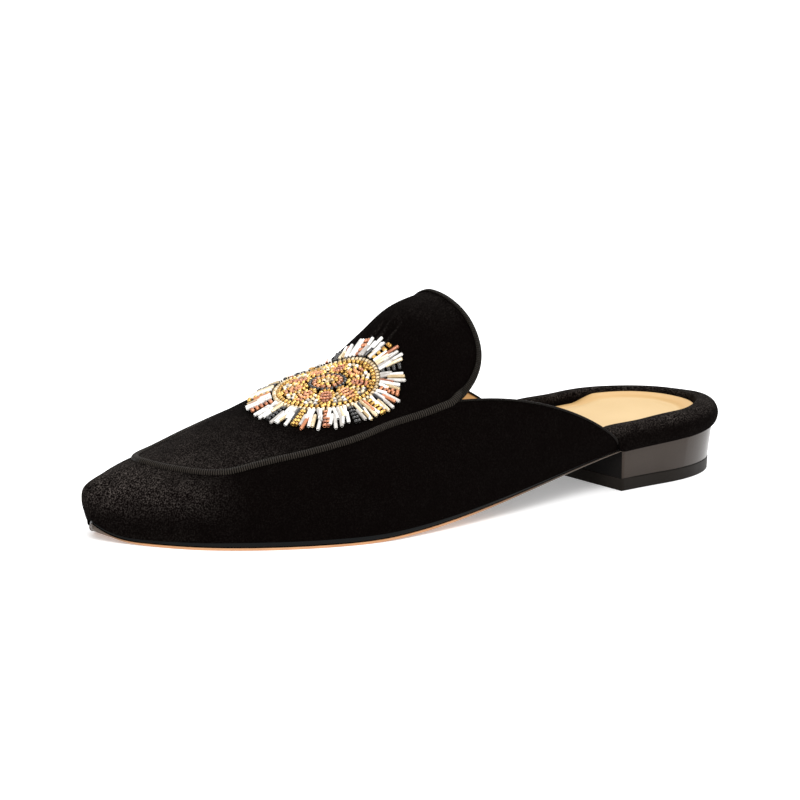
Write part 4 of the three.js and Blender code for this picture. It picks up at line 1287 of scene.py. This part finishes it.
# Glass or metal beads: two tones mixed by each bead's own number
glasses = {
    "crystal": {"light": (0.95, 0.93, 0.89), "dark": (0.42, 0.39, 0.36), "roughness": 0.12, "coat": 0.5},
    "gold": {"light": (0.86, 0.55, 0.16), "dark": (0.42, 0.22, 0.05), "roughness": 0.22, "metallic": 0.85},
    "copper": {"light": (0.62, 0.24, 0.11), "dark": (0.26, 0.09, 0.05), "roughness": 0.2, "metallic": 0.45,
               "coat": 0.4},
    "rust": {"light": (0.80, 0.36, 0.15), "dark": (0.42, 0.16, 0.07), "roughness": 0.22, "metallic": 0.25,
             "coat": 0.4},
    "black": {"light": (0.015, 0.013, 0.012), "dark": (0.006, 0.005, 0.005), "roughness": 0.1, "coat": 0.5},
    "champagne": {"light": (0.88, 0.72, 0.48), "dark": (0.52, 0.38, 0.20), "roughness": 0.18, "metallic": 0.3,
                  "coat": 0.4},
}


def beadMaterial(name, light, dark, roughness, metallic=0.0, coat=0.0):
    material, tree, shader = newMaterial(name)
    cloud = noise(tree, objectPlace(tree), 700.0, 2.0, 0.5)
    both = mathNode(tree, "ADD", attributeOf(tree, "tone"), cloud)
    feed(tree, shader, {
        "Base Color": ramp(tree, mathNode(tree, "MULTIPLY", both, 0.6), 0.35, dark, 0.72, light),
        "Roughness": roughness, "Metallic": metallic, "Coat Weight": coat,
    })
    return material


glass = {name: beadMaterial("goldSeed" if name == "gold" else name + "Glass", **values)
         for name, values in glasses.items()}


# Place in the medallion: share 0 at its middle, 1 on its outer oval, whose own middle lies nearer the toe
def inMedallion(share, angle):
    share, angle = np.broadcast_arrays(np.asarray(share, float), np.asarray(angle, float))
    start, centre = np.array(beads["middle"]), np.array(beads["centre"])
    middle = mix(start, centre, share[..., None])
    reach = np.stack([beads["halfLength"] * np.cos(angle), beads["halfWidth"] * np.sin(angle)], -1)
    return middle + share[..., None] * reach


# Seeds in a row on a line of the medallion, each as long as it is wide and lying along the line
def seedsOn(line, radius, lift=0.8):
    steps = np.linalg.norm(np.diff(line, axis=0), axis=1)
    along = np.concatenate([[0], np.cumsum(steps)])
    count = max(1, int(along[-1] / (radius * 2.02)))
    even = (np.arange(count) + 0.5) / count * along[-1]
    half = radius * 0.72
    at = lambda d: np.stack([np.interp(d, along, line[:, k]) for k in range(2)], -1)
    a, b = at(np.clip(even - half, 0, along[-1])), at(np.clip(even + half, 0, along[-1]))
    return a, b, np.full((count, 2), radius * lift)


# Closed oval of the medallion at one share
def ringOf(share, count=220):
    return inMedallion(share, np.linspace(0, 2 * np.pi, count))


# Leaf between two shares of the radius about one angle, as a closed outline of the given half width
def leafLine(angle, inner, outer, width, count=40):
    t = np.linspace(0, 2 * np.pi, count)
    along = mix(inner, outer, (1 - np.cos(t)) / 2)
    across = width * np.sin(t) * (0.55 + 0.45 * np.cos(t / 2) ** 2)
    return inMedallion(along, angle + across)


# Joins a list of (starts, ends, lifts) into three arrays
def collect(parts):
    return [np.concatenate(group) for group in zip(*parts)]


# Shares run from the middle to the outer oval. A ring is (share, beads, radius), a vein of a leaf is (angle off
# its middle, first share, last share), a course of the fringe is (first share, last share, count, lift), and a
# kind is (glass, lowest draw, highest draw) of twelve
medallion = {
    "leaves": 9, "leafFrom": 0.2, "leaf": (0.26, 0.575, 0.30), "leafSeed": 0.72,
    "rings": [(0.055, "champagne", 0.85), (0.115, "gold", 0.85), (0.172, "rust", 0.85), (0.225, "black", 0.7),
              (0.60, "gold", 0.85), (0.655, "champagne", 0.75)],
    "spokeFrom": 0.11, "spokeHalf": 0.021, "spoke": (0.70, 0.99), "spokeSeed": 0.74, "spokeGap": 0.062,
    "veins": [(-0.14, 0.32, 0.47), (-0.045, 0.30, 0.54), (0.045, 0.30, 0.54), (0.14, 0.32, 0.47)],
    "veinSeed": 0.7,
    "radii": {"gold": 0.8, "copper": 0.72, "rust": 0.74, "black": 0.68, "champagne": 0.8, "crystal": 0.76},
    "courses": [(0.78, 1.03, 104, 0.75), (0.69, 0.90, 92, 1.15)],
    "kinds": [("crystal", 0, 7), ("champagne", 8, 9), ("copper", 10, 10), ("black", 11, 11)],
    "turnScatter": 0.012, "leanScatter": 0.03, "lengthScatter": 0.09, "innerLift": 0.25,
}


def makeMedallion():
    m = medallion
    rng = np.random.default_rng(21)
    groups = {name: [] for name in m["radii"]}
    for share, name, radius in m["rings"]:
        groups[name].append(seedsOn(ringOf(share), radius))
    spokes = np.arange(beads["spokes"]) * 2 * np.pi / beads["spokes"] + m["spokeFrom"]
    for k, angle in enumerate(spokes):
        name = ("black", "gold", "copper")[k % 3]
        for off in (-m["spokeHalf"], m["spokeHalf"]):
            line = inMedallion(np.linspace(*m["spoke"], 12), angle + off)
            groups[name].append(seedsOn(line, m["spokeSeed"], 1.3))
    for k in range(m["leaves"]):
        angle = k * 2 * np.pi / m["leaves"] + m["leafFrom"]
        groups["gold"].append(seedsOn(leafLine(angle, *m["leaf"]), m["leafSeed"]))
        for off, first, final in m["veins"]:
            line = inMedallion(np.linspace(first, final, 9), angle + off)
            groups["copper" if k % 2 else "rust"].append(seedsOn(line, m["veinSeed"], 0.9))
        between = angle + np.pi / m["leaves"]
        groups["champagne"].append(seedsOn(inMedallion(np.linspace(0.36, 0.57, 9), between), 0.8))
        for off in (-0.12, 0.12):
            groups["crystal"].append(seedsOn(inMedallion(np.linspace(0.46, 0.57, 5), between + off), 0.75))
    for name, radius in m["radii"].items():
        makeBeads("beads_" + name, *collect(groups[name]), radius, seedRows, beads["seedSides"], glass[name])
    # Fringe: two lapped courses of bugles that point outward, left open at the spokes of seeds
    for course, (first, final, count, lift) in enumerate(m["courses"]):
        angle = (np.arange(count) + 0.5 * course) * 2 * np.pi / count + rng.normal(0, m["turnScatter"], count)
        reach = final - rng.random(count) * m["lengthScatter"]
        lean = rng.normal(0, m["leanScatter"], count)
        starts = inMedallion(np.full(count, first), angle)
        ends = inMedallion(reach, angle + lean)
        lifts = np.column_stack([np.full(count, lift + m["innerLift"]), np.full(count, lift)])
        away = np.abs((angle[:, None] - spokes[None] + np.pi) % (2 * np.pi) - np.pi).min(1)
        kind = np.where(away < m["spokeGap"], -1, rng.integers(0, 12, count))
        for name, low, high in m["kinds"]:
            wanted = (kind >= low) & (kind <= high)
            makeBeads(f"fringe_{name}_{course}", starts[wanted], ends[wanted], lifts[wanted], beads["bugle"],
                      bugleRows, beads["bugleSides"], glass[name])


makeMedallion()
print("beadwork done")


# Studio: pale floor, white surroundings, soft lights, camera at the photograph's angle

camera = {
    "azimuth": 37.93, "elevation": 11.407, "roll": 0.375, "distance": 1102.278, "focal": 3379.598,
    "target": (129.913, 0.0, 34.39), "image": 800, "sensor": 36.0,
}

# Metres and watts; each light is its name, place, size and power
studio = {
    "floorHalf": 6.0, "aim": (0, 0, 0.03),
    "lights": [("key", (0.5, 0.9, 1.1), (0.9, 0.7), 14), ("rear", (-0.9, -0.6, 0.9), (0.8, 0.6), 8)],
}


# Angles in degrees, distances in millimetres of the last, focal length in pixels of the picture
def makeCamera():
    az, el, roll = (math.radians(camera[k]) for k in ("azimuth", "elevation", "roll"))
    back = np.array([math.sin(az) * math.cos(el), math.cos(az) * math.cos(el), math.sin(el)])
    place = np.array(camera["target"]) + camera["distance"] * back
    right = unit(np.cross(-back, [0, 0, 1.0]))
    up = np.cross(right, -back)
    c, s = math.cos(roll), math.sin(roll)
    right, up = c * right + s * up, -s * right + c * up
    data = bpy.data.cameras.new("camera")
    data.sensor_width = camera["sensor"]
    data.lens = camera["focal"] / camera["image"] * camera["sensor"]
    data.clip_start, data.clip_end = 0.01, 50
    eye = bpy.data.objects.new("camera", data)
    matrix = Matrix.Identity(4)
    for k, axis in enumerate((right, up, back, toFrame(place))):
        for row in range(3):
            matrix[row][k] = axis[row]
    eye.matrix_world = matrix
    bpy.context.scene.collection.objects.link(eye)
    bpy.context.scene.camera = eye


def makeLight(name, place, aim, size, power):
    data = bpy.data.lights.new(name, "AREA")
    data.shape = "RECTANGLE"
    data.size, data.size_y = size
    data.energy = power
    light = bpy.data.objects.new(name, data)
    light.location = place
    light.rotation_euler = (Vector(aim) - Vector(place)).to_track_quat("-Z", "Y").to_euler()
    bpy.context.scene.collection.objects.link(light)


def makeStudio():
    mesh = bpy.data.meshes.new("floor")
    r = studio["floorHalf"]
    mesh.from_pydata([(-r, -r, 0), (r, -r, 0), (r, r, 0), (-r, r, 0)], [], [(0, 1, 2, 3)])
    floor = bpy.data.objects.new("floor", mesh)
    bpy.context.scene.collection.objects.link(floor)
    material, tree, shader = newMaterial("floorPaper")
    feed(tree, shader, {"Base Color": (0.9, 0.9, 0.9), "Emission Color": (1, 1, 1), "Emission Strength": 0.3,
                        "Roughness": 0.9, "Specular IOR Level": 0.1})
    mesh.materials.append(material)
    world = bpy.data.worlds.new("studio")
    bpy.context.scene.world = world
    world.use_nodes = True
    feed(world.node_tree, world.node_tree.nodes["Background"], {"Color": (1, 1, 1), "Strength": 1.0})
    for name, place, size, power in studio["lights"]:
        makeLight(name, place, studio["aim"], size, power)
    bpy.context.scene.view_settings.view_transform = "Standard"


makeCamera()
makeStudio()
